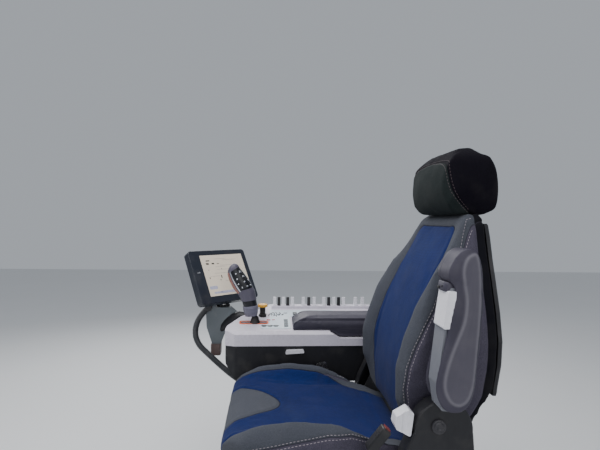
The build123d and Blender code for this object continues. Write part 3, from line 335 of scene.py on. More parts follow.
def cloth(name, front, side, rear, cover, centre=None, sheen=0.05):
    """Woven cover: a ribbed centre, plain bolsters, darker sides and black trim, told apart by the seams, with painted
    shade along each seam.
    """
    f = Finish(name, 0.88, sheen_weight=sheen, sheen_roughness=0.45, specular_ior_level=0.08)
    axes = f.add("ShaderNodeSeparateXYZ", {0: f.place}).outputs
    along = f.calc("SUBTRACT", axes[1], axes[2])
    threads = f.add("ShaderNodeCombineXYZ", {0: along, 1: axes[0], 2: 0.0}).outputs[0]
    heather = f.span(f.cloud(900, 1, f.stretched((1, 1, 0.35))), 0.36, 0.64)
    knit = f.cells(1 / 0.0024, 0.35)
    plain = f.mix(heather, shade(front, 0.80), shade(front, 1.22))
    plain = f.mix(f.span(knit, 0.1, 0.75, 0.0, 0.35), plain, shade(front, 0.62))
    flank = f.mix(heather, shade(side, 0.78), shade(side, 1.26))
    colour, ribs = plain, None
    if centre:
        inputs = {
            "Vector": threads, "Color1": shade(centre, 0.84), "Color2": shade(centre, 1.16),
            "Mortar": shade(centre, 0.46), "Scale": 1.0, "Mortar Size": 0.00042, "Mortar Smooth": 0.8,
            "Bias": 0.0, "Brick Width": 0.0078, "Row Height": cover.rib_pitch,
        }
        bricks = f.add("ShaderNodeTexBrick", inputs, offset=0.5)
        faded = f.mix(f.span(f.cloud(5, 4), 0.35, 0.65), bricks.outputs["Color"], shade(centre, 1.42))
        cloudy = f.mix(0.35, bricks.outputs["Color"], faded)
        inside = f.span(f.attribute("centre"), -0.0005, 0.0005)
        colour = f.mix(inside, plain, cloudy)
        ribs = f.calc("MULTIPLY", bricks.outputs["Fac"], inside)
        # Painted shade: the cloth is darkened in the valley along the centre cloth's seam.
        seam = f.span(f.calc("ABSOLUTE", f.attribute("centre")), 0.0005, 0.0022)
        colour = f.mix(seam, shade(lean_to(front, centre, 0.5)[:3], 0.22), colour)
    outside = f.span(f.attribute("side"), -0.0005, 0.0005)
    colour = f.mix(outside, colour, flank)
    behind = f.span(f.attribute("rear"), -0.0006, 0.0006)
    colour = f.mix(behind, colour, shade(rear, 1.0))
    # Painted shade: the cloth is darkened in the valley along the double seam.
    seam = f.span(f.calc("ABSOLUTE", f.attribute("side")), 0.0003, 0.0012)
    colour = f.mix(seam, shade(side, 0.45), colour)
    colour = f.mix(f.span(f.cloud(13, 5), 0.5, 0.85, 0.0, 0.03), colour, (*DUST, 1))
    f.press(knit, 0.00030, 0.55)
    if ribs:
        f.press(ribs, 0.00050, -0.75)
    f.press(f.cloud(34, 3), 0.0006, 0.22)
    return f.done(colour, f.span(f.cloud(20, 2), 0.3, 0.7, 0.80, 0.95))


def thread_finish(name, colour):
    """Twisted thread."""
    f = Finish(name, 0.6, sheen_weight=0.2)
    twist = f.add("ShaderNodeTexWave", {"Vector": f.place, "Scale": 420, "Distortion": 2.0}).outputs["Fac"]
    f.press(twist, 0.0001, 0.6)
    return f.done(f.mix(twist, shade(colour, 0.7), shade(colour, 1.15)))


def screen_finish(name, colour):
    """Bright display behind smooth glass, with a faint pixel grid and finger smears."""
    f = Finish(name, 0.16, coat_weight=0.5, coat_roughness=0.05)
    glow = f.mix(f.span(f.cloud(6, 3), 0.3, 0.7), shade(colour, 0.93), shade(colour, 1.06))
    grid = f.span(f.cells(900, 0.0), 0.1, 0.6, 0.0, 0.12)
    glow = f.mix(grid, glow, shade(colour, 0.8))
    f.put(glow, f.shader.inputs["Emission Color"])
    f.shader.inputs["Emission Strength"].default_value = 0.22
    return f.done(glow, f.span(f.cloud(30, 4), 0.45, 0.75, 0.12, 0.32))


# Mesh work


# Points nearer than this are one point.
SAME_POINT = 0.00002


def points_of(mesh):
    """A mesh's points as rows of x, y and z."""
    places = np.zeros(len(mesh.vertices) * 3)
    mesh.vertices.foreach_get("co", places)
    return places.reshape(-1, 3)


def normals_of(mesh):
    """The directions that a mesh's points face."""
    ways = np.zeros(len(mesh.vertices) * 3)
    mesh.vertex_normals.foreach_get("vector", ways)
    return ways.reshape(-1, 3)


def move_points(mesh, places):
    """Puts a mesh's points in new places."""
    mesh.vertices.foreach_set("co", np.asarray(places, float).ravel())
    mesh.update()


def keep_value(mesh, name, values):
    """Keeps one number for each point, for the materials."""
    kept = mesh.attributes.get(name) or mesh.attributes.new(name, "FLOAT", "POINT")
    kept.data.foreach_set("value", np.asarray(values, np.float32))


def add_object(name, data):
    """An object in the scene, at the origin."""
    obj = bpy.data.objects.new(name, data)
    bpy.context.scene.collection.objects.link(obj)
    return obj


def form(name, places, faces):
    """An object from points and faces."""
    mesh = bpy.data.meshes.new(name)
    mesh.from_pydata([tuple(p) for p in places], [], [tuple(int(i) for i in face) for face in faces])
    return add_object(name, mesh)


def piece(name, places, faces, body, material, slot, smooth=50.0):
    """A finished piece from points and faces: facing outwards, shaded, and riding on its body."""
    return settle(form(name, places, faces), body, material, smooth)


def settle(obj, body, material, smooth=50.0, outward=True):
    """Closes a piece's doubles, turns its faces outwards, and gives it its finish and its body."""
    bm = bmesh.new()
    bm.from_mesh(obj.data)
    if outward:
        bmesh.ops.remove_doubles(bm, verts=bm.verts, dist=SAME_POINT)
        bmesh.ops.recalc_face_normals(bm, faces=bm.faces)
    for face in bm.faces:
        face.smooth = True
    for edge in bm.edges:
        edge.smooth = edge.calc_face_angle(0.0) <= math.radians(smooth)
    bm.to_mesh(obj.data)
    bm.free()
    if material:
        obj.data.materials.clear()
        obj.data.materials.append(material)
    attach(obj, body)
    return obj


def evaluated_mesh(obj):
    """A new mesh of an object, as its modifiers or its curve make it."""
    bpy.context.view_layer.update()
    return bpy.data.meshes.new_from_object(obj.evaluated_get(bpy.context.evaluated_depsgraph_get()))


def bake(obj):
    """Makes an object's modifiers permanent and takes them off."""
    made = evaluated_mesh(obj)
    obj.modifiers.clear()
    obj.data = made
    made.name = obj.name
    return obj


def modify(obj, kind, **settings):
    """Adds one modifier with its settings."""
    modifier = obj.modifiers.new(kind.lower(), kind)
    for key, value in settings.items():
        setattr(modifier, key, value)
    return modifier


def cad_copy(name, *nodes):
    """One closed copy of CAD nodes, with their loose triangles merged."""
    bm = bmesh.new()
    for node in nodes:
        bm.from_mesh(frame["nodes"][node].data)
    bmesh.ops.remove_doubles(bm, verts=bm.verts, dist=SAME_POINT)
    mesh = bpy.data.meshes.new(name)
    bm.to_mesh(mesh)
    bm.free()
    return add_object(name, mesh)


def dress(material, *nodes):
    """Gives CAD nodes their finish."""
    for node in nodes:
        data = frame["nodes"][node].data
        data.materials.clear()
        data.materials.append(material)


def skin(rings, closed=True, caps=True):
    """Points and faces of a surface through rings of equal count, closed round and capped at both ends."""
    rings = np.asarray(rings, float)
    count, around = rings.shape[:2]
    places = rings.reshape(-1, 3)
    faces = []
    for row in range(count - 1):
        for i in range(around if closed else around - 1):
            j = (i + 1) % around
            faces.append((row * around + i, row * around + j, (row + 1) * around + j, (row + 1) * around + i))
    if caps:
        faces.append(tuple(range(around))[::-1])
        faces.append(tuple((count - 1) * around + i for i in range(around)))
    return places, faces


def join(parts):
    """Several lists of points and faces as one."""
    places, faces, start = [], [], 0
    for some_places, some_faces in parts:
        places.extend(tuple(p) for p in some_places)
        faces.extend(tuple(start + i for i in face) for face in some_faces)
        start += len(some_places)
    return places, faces


def angles_round(count):
    """Even angles round a circle."""
    return [2 * math.pi * i / count for i in range(count)]


def bulged(value, power):
    """A sine or cosine raised to a power with its sign kept, for a rounded square."""
    return math.copysign(abs(value) ** power, value)


def frame_of(facing, up=(0, 0, 1)):
    """Side, up and facing directions of something that faces one way."""
    out = Vector(facing).normalized()
    side = Vector(up).cross(out)
    side = side.normalized() if side.length > 1e-6 else Vector((1, 0, 0))
    return side, out.cross(side).normalized(), out


def boss(centre, facing, rows, around=24, squareness=2.0, up=(0, 0, 1)):
    """A raised boss: rows of height, half width and half height, along the way that it faces."""
    side, rise, out = frame_of(facing, up)
    rings = []
    for height, half_width, half_height in rows:
        ring = []
        for angle in angles_round(around):
            u = bulged(math.cos(angle), 2 / squareness) * half_width
            v = bulged(math.sin(angle), 2 / squareness) * half_height
            ring.append(Vector(centre) + side * u + rise * v + out * height)
        rings.append(ring)
    return skin(rings)


def tube(line, radius, around=8):
    """A round tube along a line of points."""
    line = np.asarray(line, float)
    ways = np.gradient(line, axis=0)
    rings, up = [], None
    for place, way in zip(line, ways):
        way = Vector(way).normalized()
        if up is None:
            up = way.orthogonal().normalized()
        up = (up - way * up.dot(way)).normalized()
        other = way.cross(up)
        rings.append([
            Vector(place) + (up * math.cos(a) + other * math.sin(a)) * radius for a in angles_round(around)
        ])
    return skin(rings)


def through(table, value, column=1):
    """A table's column read at a value of its first column, straight between rows."""
    rows = np.array(sorted(table))
    return np.interp(value, rows[:, 0], rows[:, column])


# Geometry Nodes


SOCKETS = {"VALUE": "NodeSocketFloat", "INT": "NodeSocketInt", "MATERIAL": "NodeSocketMaterial",
           "OBJECT": "NodeSocketObject"}


class Growth(Graph):
    """A geometry tree with named inputs, which ends in real mesh of one material."""

    def __init__(self, name, inputs):
        tree = bpy.data.node_groups.new(name, "GeometryNodeTree")
        super().__init__(tree)
        tree.interface.new_socket("Geometry", in_out="INPUT", socket_type="NodeSocketGeometry")
        for label, kind in inputs:
            tree.interface.new_socket(label, in_out="INPUT", socket_type=SOCKETS[kind])
        tree.interface.new_socket("Material", in_out="INPUT", socket_type="NodeSocketMaterial")
        tree.interface.new_socket("Geometry", in_out="OUTPUT", socket_type="NodeSocketGeometry")
        self.given = self.add("NodeGroupInput").outputs

    def end(self, geometry):
        """Makes the instances real and gives them their material."""
        real = self.add("GeometryNodeRealizeInstances", {0: geometry}).outputs[0]
        smooth = self.add("GeometryNodeSetShadeSmooth", {0: real}).outputs[0]
        coated = self.add("GeometryNodeSetMaterial", {0: smooth, "Material": self.given["Material"]})
        self.add("NodeGroupOutput", {0: coated.outputs[0]})
        return self.tree

    def field(self, name, kind="FLOAT_VECTOR"):
        """A named attribute of the points."""
        node = self.add("GeometryNodeInputNamedAttribute", {"Name": name}, data_type=kind)
        return node.outputs["Attribute"]


def grow(obj, tree, values):
    """Runs a geometry tree on an object with its inputs set, and keeps the plain mesh."""
    modifier = obj.modifiers.new("growth", "NODES")
    modifier.node_group = tree
    for item in tree.interface.items_tree:
        if item.item_type == "SOCKET" and item.in_out == "INPUT" and item.name in values:
            modifier[item.identifier] = values[item.name]
    if obj.type == "MESH":
        return bake(obj)
    made, name, curve = evaluated_mesh(obj), obj.name, obj.data
    bpy.data.objects.remove(obj)
    bpy.data.curves.remove(curve)
    return add_object(name, made)


def stitch_tree():
    """Stitches laid end to end along curves."""
    g = Growth("stitches", (("Pitch", "VALUE"), ("Length", "VALUE"), ("Thickness", "VALUE")))
    spaced = g.add("GeometryNodeCurveToPoints", {"Curve": g.given["Geometry"], "Length": g.given["Pitch"]},
                   mode="LENGTH")
    bead = g.add("GeometryNodeMeshUVSphere", {"Segments": 6, "Rings": 4, "Radius": 0.5}).outputs[0]
    size = g.add("ShaderNodeCombineXYZ", {0: g.given["Thickness"], 1: g.given["Thickness"],
                                          2: g.given["Length"]}).outputs[0]
    shaped = g.add("GeometryNodeTransform", {"Geometry": bead, "Scale": size}).outputs[0]
    laid = g.add("GeometryNodeInstanceOnPoints",
                 {"Points": spaced.outputs["Points"], "Instance": shaped, "Rotation": spaced.outputs["Rotation"]})
    return g.end(laid.outputs[0])


def ridge_tree():
    """A corrugated tube along a curve."""
    g = Growth("ridges", (("Diameter", "VALUE"), ("Pitch", "VALUE"), ("Depth", "VALUE")))
    step = g.calc("DIVIDE", g.given["Pitch"], 6.0)
    fine = g.add("GeometryNodeResampleCurve", {"Curve": g.given["Geometry"], "Length": step}, mode="LENGTH")
    run = g.add("GeometryNodeSplineParameter").outputs["Length"]
    turns = g.calc("MULTIPLY", g.calc("DIVIDE", run, g.given["Pitch"]), 2 * math.pi)
    wave = g.span(g.calc("SINE", turns), -0.7, 0.7, -1.0, 0.0)
    radius = g.calc("MULTIPLY_ADD", wave, g.given["Depth"], g.calc("MULTIPLY", g.given["Diameter"], 0.5))
    ring = g.add("GeometryNodeCurvePrimitiveCircle", {"Resolution": 28, "Radius": 1.0}).outputs[0]
    inputs = {"Curve": fine.outputs[0], "Profile Curve": ring, "Scale": radius, "Fill Caps": True}
    return g.end(g.add("GeometryNodeCurveToMesh", inputs).outputs[0])


def bellows_tree():
    """A rounded rectangular bellows along a curve, with even folds."""
    inputs = (("Width", "VALUE"), ("Length", "VALUE"), ("Corner", "VALUE"), ("Folds", "INT"), ("Depth", "VALUE"))
    g = Growth("bellows", inputs)
    count = g.calc("MULTIPLY_ADD", g.given["Folds"], 14.0, 1.0)
    fine = g.add("GeometryNodeResampleCurve", {"Curve": g.given["Geometry"], "Count": count})
    share = g.add("GeometryNodeSplineParameter").outputs["Factor"]
    turns = g.calc("MULTIPLY", g.calc("MULTIPLY", share, g.given["Folds"]), 2 * math.pi)
    valley = g.calc("POWER", g.span(g.calc("COSINE", turns), -1.0, 1.0, 0.0, 1.0), 1.25)
    half = g.calc("MULTIPLY", g.given["Length"], 0.5)
    scale = g.calc("SUBTRACT", 1.0, g.calc("DIVIDE", g.calc("MULTIPLY", valley, g.given["Depth"]), half))
    plan = g.add("GeometryNodeCurvePrimitiveQuadrilateral",
                 {"Width": g.given["Width"], "Height": g.given["Length"]}).outputs[0]
    corner = {"Curve": plan, "Count": 9, "Radius": g.given["Corner"]}
    rounded = g.add("GeometryNodeFilletCurve", corner, mode="POLY")
    dense = g.add("GeometryNodeResampleCurve", {"Curve": rounded.outputs[0], "Count": 150})
    inputs = {"Curve": fine.outputs[0], "Profile Curve": dense.outputs[0], "Scale": scale, "Fill Caps": True}
    return g.end(g.add("GeometryNodeCurveToMesh", inputs).outputs[0])


def scatter_tree():
    """One small shape set at points, each turned to face its own way."""
    g = Growth("fasteners", (("Shape", "OBJECT"), ("Size", "VALUE")))
    shape = g.add("GeometryNodeObjectInfo", {"Object": g.given["Shape"]}).outputs["Geometry"]
    turned = g.add("FunctionNodeAlignRotationToVector", {"Vector": g.field("facing")}, axis="Z")
    laid = g.add("GeometryNodeInstanceOnPoints",
                 {"Points": g.given["Geometry"], "Instance": shape, "Rotation": turned.outputs[0],
                  "Scale": g.given["Size"]})
    return g.end(laid.outputs[0])


def curve_of(name, lines, kind="POLY"):
    """A curve object through lines of points, for a tree to follow."""
    curve = bpy.data.curves.new(name, "CURVE")
    curve.dimensions = "3D"
    for line in lines:
        spline = curve.splines.new(kind)
        spline.points.add(len(line) - 1)
        for point, place in zip(spline.points, line):
            point.co = (*place, 1)
    return add_object(name, curve)


def scattered(name, shape, places, size, body, material):
    """Copies of one shape at places of (point, facing), as one plain mesh."""
    mesh = bpy.data.meshes.new(name)
    mesh.from_pydata([place for place, _ in places], [], [])
    ways = mesh.attributes.new("facing", "FLOAT_VECTOR", "POINT")
    ways.data.foreach_set("vector", np.array([way for _, way in places], np.float32).ravel())
    tree = bpy.data.node_groups.get("fasteners") or scatter_tree()
    made = grow(add_object(name, mesh), tree, {"Shape": shape, "Size": size, "Material": material})
    return settle(made, body, material, 40.0)


# Camera


CAMERA_PLACE = (1.272, -0.199, 1.051)
CAMERA_AZIMUTH = 86.085
CAMERA_PITCH = 0.554
CAMERA_ROLL = 0.801
CAMERA_LENS = 26.512


class CAB_OT_camera(Operator):
    """Sets up the camera beside the object, at the height of the headrest"""

    bl_idname = "cab.camera"
    bl_label = "Camera"

    def execute(self, context):
        azimuth, pitch, roll = (math.radians(a) for a in (CAMERA_AZIMUTH, CAMERA_PITCH, CAMERA_ROLL))
        ahead = Vector((-math.sin(azimuth) * math.cos(pitch), math.cos(azimuth) * math.cos(pitch), -math.sin(pitch)))
        level = ahead.cross(Vector((0, 0, 1))).normalized()
        upright = level.cross(ahead)
        right = level * math.cos(roll) + upright * math.sin(roll)
        up = upright * math.cos(roll) - level * math.sin(roll)
        data = bpy.data.cameras.new("camera")
        data.lens = CAMERA_LENS
        data.sensor_width = 36.0
        data.clip_start = 0.01
        obj = add_object("camera", data)
        turn = Matrix((right, up, -ahead)).transposed().to_4x4()
        obj.matrix_world = Matrix.Translation(CAMERA_PLACE) @ turn
        context.scene.camera = obj
        return {"FINISHED"}


# Conduit


CONDUIT_ROUTE = (
    (-0.475, -0.436, 0.706),
    (-0.470, -0.460, 0.680),
    (-0.464, -0.478, 0.648),
    (-0.460, -0.483, 0.606),
    (-0.457, -0.468, 0.566),
    (-0.456, -0.436, 0.535),
    (-0.456, -0.401, 0.502),
    (-0.456, -0.364, 0.469),
    (-0.456, -0.324, 0.436),
    (-0.456, -0.280, 0.412),
    (-0.456, -0.234, 0.402),
    (-0.456, -0.189, 0.412),
    (-0.456, -0.155, 0.443),
    (-0.456, -0.139, 0.484),
)


class CAB_OT_conduit(Operator):
    """Lays the corrugated conduit from the monitor bracket to the console"""

    bl_idname = "cab.conduit"
    bl_label = "Conduit"

    def execute(self, context):
        sizes = context.scene.cab_conduit
        route = curve_of("conduit_tube", [CONDUIT_ROUTE], "NURBS")
        route.data.resolution_u = 16
        route.data.splines[0].order_u = 3
        route.data.splines[0].use_endpoint_u = True
        path = points_of(evaluated_mesh(route))
        plastic = moulded("conduit_plastic", sizes.colour, 0.0009, 0.42, 0.00005, 0.12)
        values = {"Diameter": sizes.diameter, "Pitch": sizes.pitch, "Depth": sizes.depth, "Material": plastic}
        made = grow(route, ridge_tree(), values)
        settle(made, "console", plastic, 60.0)
        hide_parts("conduit")
        return {"FINISHED"}


# Padded pieces


# Frames that the cloth is pressed out for.
PRESS_FRAMES = 20
# A panel's distance on points that are nowhere near it.
ABSENT = -1.0


def swell(obj, pressure, cap, pins, free):
    """Presses a padded form out as cloth held at its seams, and moves no point further than the cap."""
    before = points_of(obj.data)
    group = obj.vertex_groups.new(name="held")
    for weight in (0.25, 0.5, 0.75, 1.0):
        chosen = np.nonzero((pins > weight - 0.125) & (pins <= weight + 0.125))[0]
        group.add([int(i) for i in chosen], weight, "REPLACE")
    scene = bpy.context.scene
    press = modify(obj, "CLOTH")
    press.settings.quality = 4
    press.settings.mass = 0.3
    press.settings.tension_stiffness = 12
    press.settings.compression_stiffness = 12
    press.settings.bending_stiffness = 0.6
    press.settings.use_pressure = True
    press.settings.uniform_pressure_force = pressure
    press.settings.vertex_group_mass = "held"
    press.settings.effector_weights.gravity = 0
    press.collision_settings.use_collision = False
    press.collision_settings.use_self_collision = False
    press.point_cache.frame_start = 1
    press.point_cache.frame_end = PRESS_FRAMES
    for step in range(1, PRESS_FRAMES + 1):
        scene.frame_set(step)
    bake(obj)
    scene.frame_set(1)
    obj.vertex_groups.clear()
    moved = points_of(obj.data) - before
    length = np.linalg.norm(moved, axis=1)
    allowed = cap * np.tanh(length / cap) * free
    move_points(obj.data, before + moved * (allowed / np.maximum(length, 1e-9))[:, None])


def hump(value, middle, width):
    """A smooth hump of height 1 at its middle."""
    return np.exp(-(((value - middle) / width) ** 2))


def held_near(distance, reach):
    """How firmly a seam holds the points near it: wholly on it, and not at all beyond 1.2 times the reach."""
    return np.clip(1.2 - np.abs(distance) / reach, 0, 1)


def keep_panels(mesh, centre, side, rear):
    """Keeps the distances that tell a cover's cloths apart, each one per point or one for all."""
    for name, values in (("centre", centre), ("side", side), ("rear", rear)):
        keep_value(mesh, name, np.full(len(mesh.vertices), values))


def edge_field(table, x, y, z):
    """Signed distance to the seam along a form's side edge, from a table such as BACK_EDGE."""
    across = through(table, z, 3)
    side = across * (np.abs(x) - through(table, z, 1))
    return side + np.sqrt(1 - across**2) * (y - through(table, z, 2))


def rise(value, start, end):
    """A share that grows smoothly from 0 at the start to 1 at the end."""
    share = np.clip((value - start) / (end - start), 0, 1)
    return share * share * (3 - 2 * share)


def padded_form(name, node, voxel, shrink, smoothing, reshape=None):
    """A slightly smaller, evenly meshed and softened form of a padded CAD node, or of an object."""
    obj = cad_copy(name, node) if isinstance(node, str) else node
    modify(obj, "REMESH", mode="VOXEL", voxel_size=voxel)
    bake(obj)
    if reshape:
        move_points(obj.data, reshape(points_of(obj.data)))
    move_points(obj.data, points_of(obj.data) - normals_of(obj.data) * shrink)
    modify(obj, "SMOOTH", factor=0.5, iterations=smoothing)
    return bake(obj)


def refine(obj):
    """Adds one subdivision and keeps it."""
    modify(obj, "SUBSURF", levels=1, render_levels=1)
    return bake(obj)


def carve(obj, fields, cover, wrinkle=0.0008):
    """Sinks the seams between panels, and adds the small puckers that run off them."""
    places, ways = points_of(obj.data), normals_of(obj.data)
    depth = np.zeros(len(places))
    near = np.zeros(len(places))
    for field, live in fields:
        across = hump(field, 0, cover.seam_width) * live
        shoulder = hump(np.abs(field), 0.011, 0.008) * live
        depth += cover.seam_depth * across - 0.0009 * shoulder
        near = np.maximum(near, np.exp(-np.abs(field) / 0.022) * live)
    pucker = np.array([noise.noise(Vector(p) * 46.0) for p in places])
    broad = np.array([noise.noise(Vector(p) * 13.0 + Vector((7, 3, 1))) for p in places])
    lift = wrinkle * pucker * near + 0.0011 * broad
    move_points(obj.data, places + ways * (lift - depth)[:, None])


def level_lines(obj, values, level, live, shortest=0.06):
    """Lines on a mesh where its point values cross a level, each a run of places."""
    mesh = obj.data
    places = points_of(mesh)
    corners = np.array([poly.vertices[:] for poly in mesh.polygons if poly.loop_total == 4])
    over = values > level
    crossed = over[corners].any(1) & ~over[corners].all(1) & live[corners].all(1)
    spots, links = {}, {}
    for face in corners[crossed]:
        hits = []
        for a, b in zip(face, np.roll(face, -1)):
            if over[a] != over[b]:
                key = (int(min(a, b)), int(max(a, b)))
                share = (level - values[a]) / (values[b] - values[a])
                spots[key] = places[a] + (places[b] - places[a]) * share
                hits.append(key)
        if len(hits) == 2:
            links.setdefault(hits[0], []).append(hits[1])
            links.setdefault(hits[1], []).append(hits[0])
    lines, seen = [], set()
    for start in sorted(links, key=lambda key: (len(links[key]), key)):
        if start in seen:
            continue
        chain, here = [], start
        while here is not None:
            seen.add(here)
            chain.append(spots[here])
            here = next((key for key in links[here] if key not in seen), None)
        line = np.array(chain)
        if len(line) > 8 and np.linalg.norm(np.diff(line, axis=0), axis=1).sum() > shortest:
            for _ in range(4):
                line[1:-1] = (line[:-2] + 2 * line[1:-1] + line[2:]) / 4
            lines.append(line)
    return lines


def stitched(name, obj, values, live, cover, body, colour=None):
    """Rows of stitches beside a seam, set on a padded piece."""
    lines = []
    for side in (-1, 1):
        lines += level_lines(obj, values, side * cover.stitch_gauge, live)
    if not lines:
        raise RuntimeError(f"{name}: no line on the surface for the stitches")
    thread = thread_finish(f"{name}_thread", colour or cover.thread)
    tree = bpy.data.node_groups.get("stitches") or stitch_tree()
    values = {"Pitch": cover.stitch_pitch, "Length": cover.stitch_length, "Thickness": 0.0016, "Material": thread}
    made = grow(curve_of(name, lines), tree, values)
    return settle(made, body, thread, 80.0)


CUSHION_SEAM = (
    (-0.33, 0.202), (-0.15, 0.206), (0.0, 0.203), (0.03, 0.195), (0.06, 0.182), (0.104, 0.160), (0.21, 0.140),
)
CUSHION_EDGE = (
    (-0.34, 0.474), (-0.31, 0.486), (-0.28, 0.498), (-0.219, 0.512), (-0.145, 0.524), (-0.05, 0.537),
    (0.005, 0.534), (0.04, 0.521), (0.10, 0.500), (0.21, 0.480),
)
# Depth of the grey insert's tip, and how fast the insert widens towards the front.
INSERT_APEX = -0.163
INSERT_BEND = 9.5
# Heights where the centre cloth ends at the front, and below which no seam is sunk.
CUSHION_FRONT = 0.474
CUSHION_SKIRT = 0.455


def cushion_fields(places):
    """Signed distances to the cushion's seams: round its centre cloth and along its outer edge."""
    x, y, z = places.T
    sides = through(CUSHION_SEAM, y) - np.abs(x)
    insert = (y - INSERT_APEX + INSERT_BEND * x * x) / np.sqrt(1 + (2 * INSERT_BEND * x) ** 2)
    edge = through(CUSHION_EDGE, y)
    front_edge = z - CUSHION_FRONT
    centre = np.minimum(np.minimum(sides, insert), front_edge)
    return centre, edge - z


def dish_cushion(places):
    """Sinks the seat between its centre and its bolsters, and lifts the bolsters' crests."""
    x, y, z = places.T
    on_top = rise(z, 0.49, 0.53)
    along = rise(y, -0.30, -0.20) * (1 - rise(y, 0.06, 0.16))
    valley = hump(np.abs(x), 0.178, 0.022) * 0.0100
    crest = hump(np.abs(x), 0.224, 0.018) * 0.0095
    return np.column_stack((x, y, z + (crest - valley) * on_top * along))


class CAB_OT_cushion(Operator):
    """Upholsters the cushion: ribbed centre, grey insert and bolsters, double seam along the edge"""

    bl_idname = "cab.cushion"
    bl_label = "Cushion"

    def execute(self, context):
        cover = context.scene.cab_cover
        obj = padded_form("cushion_cover", "cushion", 0.006, 0.005, 8, dish_cushion)
        places = points_of(obj.data)
        low = places[:, 2].min()
        centre, side = cushion_fields(places)
        held = held_near(np.minimum(np.abs(centre), np.abs(side)), 0.006)
        held = np.maximum(held, places[:, 2] < low + 0.008)
        free = np.clip((places[:, 2] - low - 0.004) / 0.03, 0, 1)
        swell(obj, cover.pressure, 0.009, held, free)
        refine(obj)
        places, ways = points_of(obj.data), normals_of(obj.data)
        centre, side = cushion_fields(places)
        on_top = np.clip((ways[:, 2] + 0.15) / 0.3, 0, 1) * (places[:, 2] > CUSHION_SKIRT)
        on_front = (ways[:, 1] < -0.35) * (places[:, 2] > CUSHION_SKIRT)
        on_side = (np.abs(places[:, 0]) > 0.205) | (places[:, 1] < -0.27)
        carve(obj, ((centre, np.maximum(on_top, on_front)), (side, on_side * 1.0)), cover)
        places = points_of(obj.data)
        centre, side = cushion_fields(places)
        outer = (np.abs(places[:, 0]) > 0.2) | (places[:, 1] < -0.25)
        keep_panels(obj.data, centre, np.where(outer, side, ABSENT), ABSENT)
        fabric = cloth("cushion_cloth", cover.bolster, cover.side, cover.rear, cover, cover.centre)
        settle(obj, "carriage", fabric, 70.0, outward=False)
        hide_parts("cushion")
        live = (np.abs(places[:, 0]) > 0.21) & (places[:, 1] < 0.09) & (places[:, 1] > -0.29)
        stitched("cushion_stitches", obj, side, live, cover, "carriage")
        return {"FINISHED"}


BACK_SEAM = (
    (0.48, 0.112), (0.54, 0.130), (0.60, 0.144), (0.66, 0.151), (0.72, 0.154), (0.78, 0.153), (0.84, 0.150),
    (0.90, 0.148), (0.95, 0.146), (1.00, 0.139), (1.06, 0.126),
)
BACK_TOP_SEAM = 1.041
# Height, half width and depth of the outer seam, and the share of the way across in the distance from it.
BACK_EDGE = (
    (0.48, 0.215, 0.180, 0.15), (0.54, 0.220, 0.157, 0.12), (0.592, 0.228, 0.142, 0.10), (0.644, 0.236, 0.134, 0.08),
    (0.697, 0.240, 0.140, 0.08), (0.747, 0.240, 0.157, 0.10), (0.799, 0.236, 0.181, 0.14), (0.840, 0.229, 0.204, 0.20),
    (0.895, 0.215, 0.232, 0.32), (0.938, 0.196, 0.265, 0.50), (0.985, 0.176, 0.294, 0.68), (1.020, 0.165, 0.309, 0.85),
    (1.059, 0.158, 0.322, 1.0), (1.09, 0.155, 0.340, 1.0),
)
# How deep the centre cloth and the side cloth go, at a height.
BACK_CENTRE_DEPTH = (
    (0.48, 0.190), (0.62, 0.200), (0.75, 0.240), (0.85, 0.270), (0.93, 0.300), (1.00, 0.335), (1.06, 0.380),
)
BACK_TRIM = ((0.48, 0.232), (0.494, 0.242), (0.54, 0.292), (0.62, 0.332), (0.70, 0.334), (1.10, 0.334))
# Depth of the back's rear face.
BACK_REAR = 0.354


def rounded_least(first, second, radius):
    """The smaller of two distances, rounded where they meet."""
    blend = np.clip(0.5 + 0.5 * (second - first) / radius, 0, 1)
    return second + (first - second) * blend - radius * blend * (1 - blend) * 0.5


def back_fields(places):
    """Signed distances to the back cushion's seams: round its centre cloth, along its edge and at its trim."""
    x, y, z = places.T
    sides = through(BACK_SEAM, z) - np.abs(x)
    centre = rounded_least(sides, BACK_TOP_SEAM - z, 0.036)
    centre = np.minimum(centre, through(BACK_CENTRE_DEPTH, z) - y)
    outer = np.abs(x) > through(BACK_EDGE, z, 1) - 0.022
    side = np.where(outer, edge_field(BACK_EDGE, x, y, z), -0.05)
    return centre, side, y - through(BACK_TRIM, z)


def crown_back(places):
    """Raises the back's top between its shoulders, and sinks the valleys inside its bolsters."""
    x, y, z = places.T
    valley = hump(np.abs(x), 0.158, 0.020) * rise(z, 0.56, 0.66) * (1 - rise(z, 0.94, 1.02))
    front = 1 - rise(y, 0.27, 0.32)
    return np.column_stack((x, y + 0.010 * valley * front, z + 0.0120 * rise(z, 0.98, 1.062)))


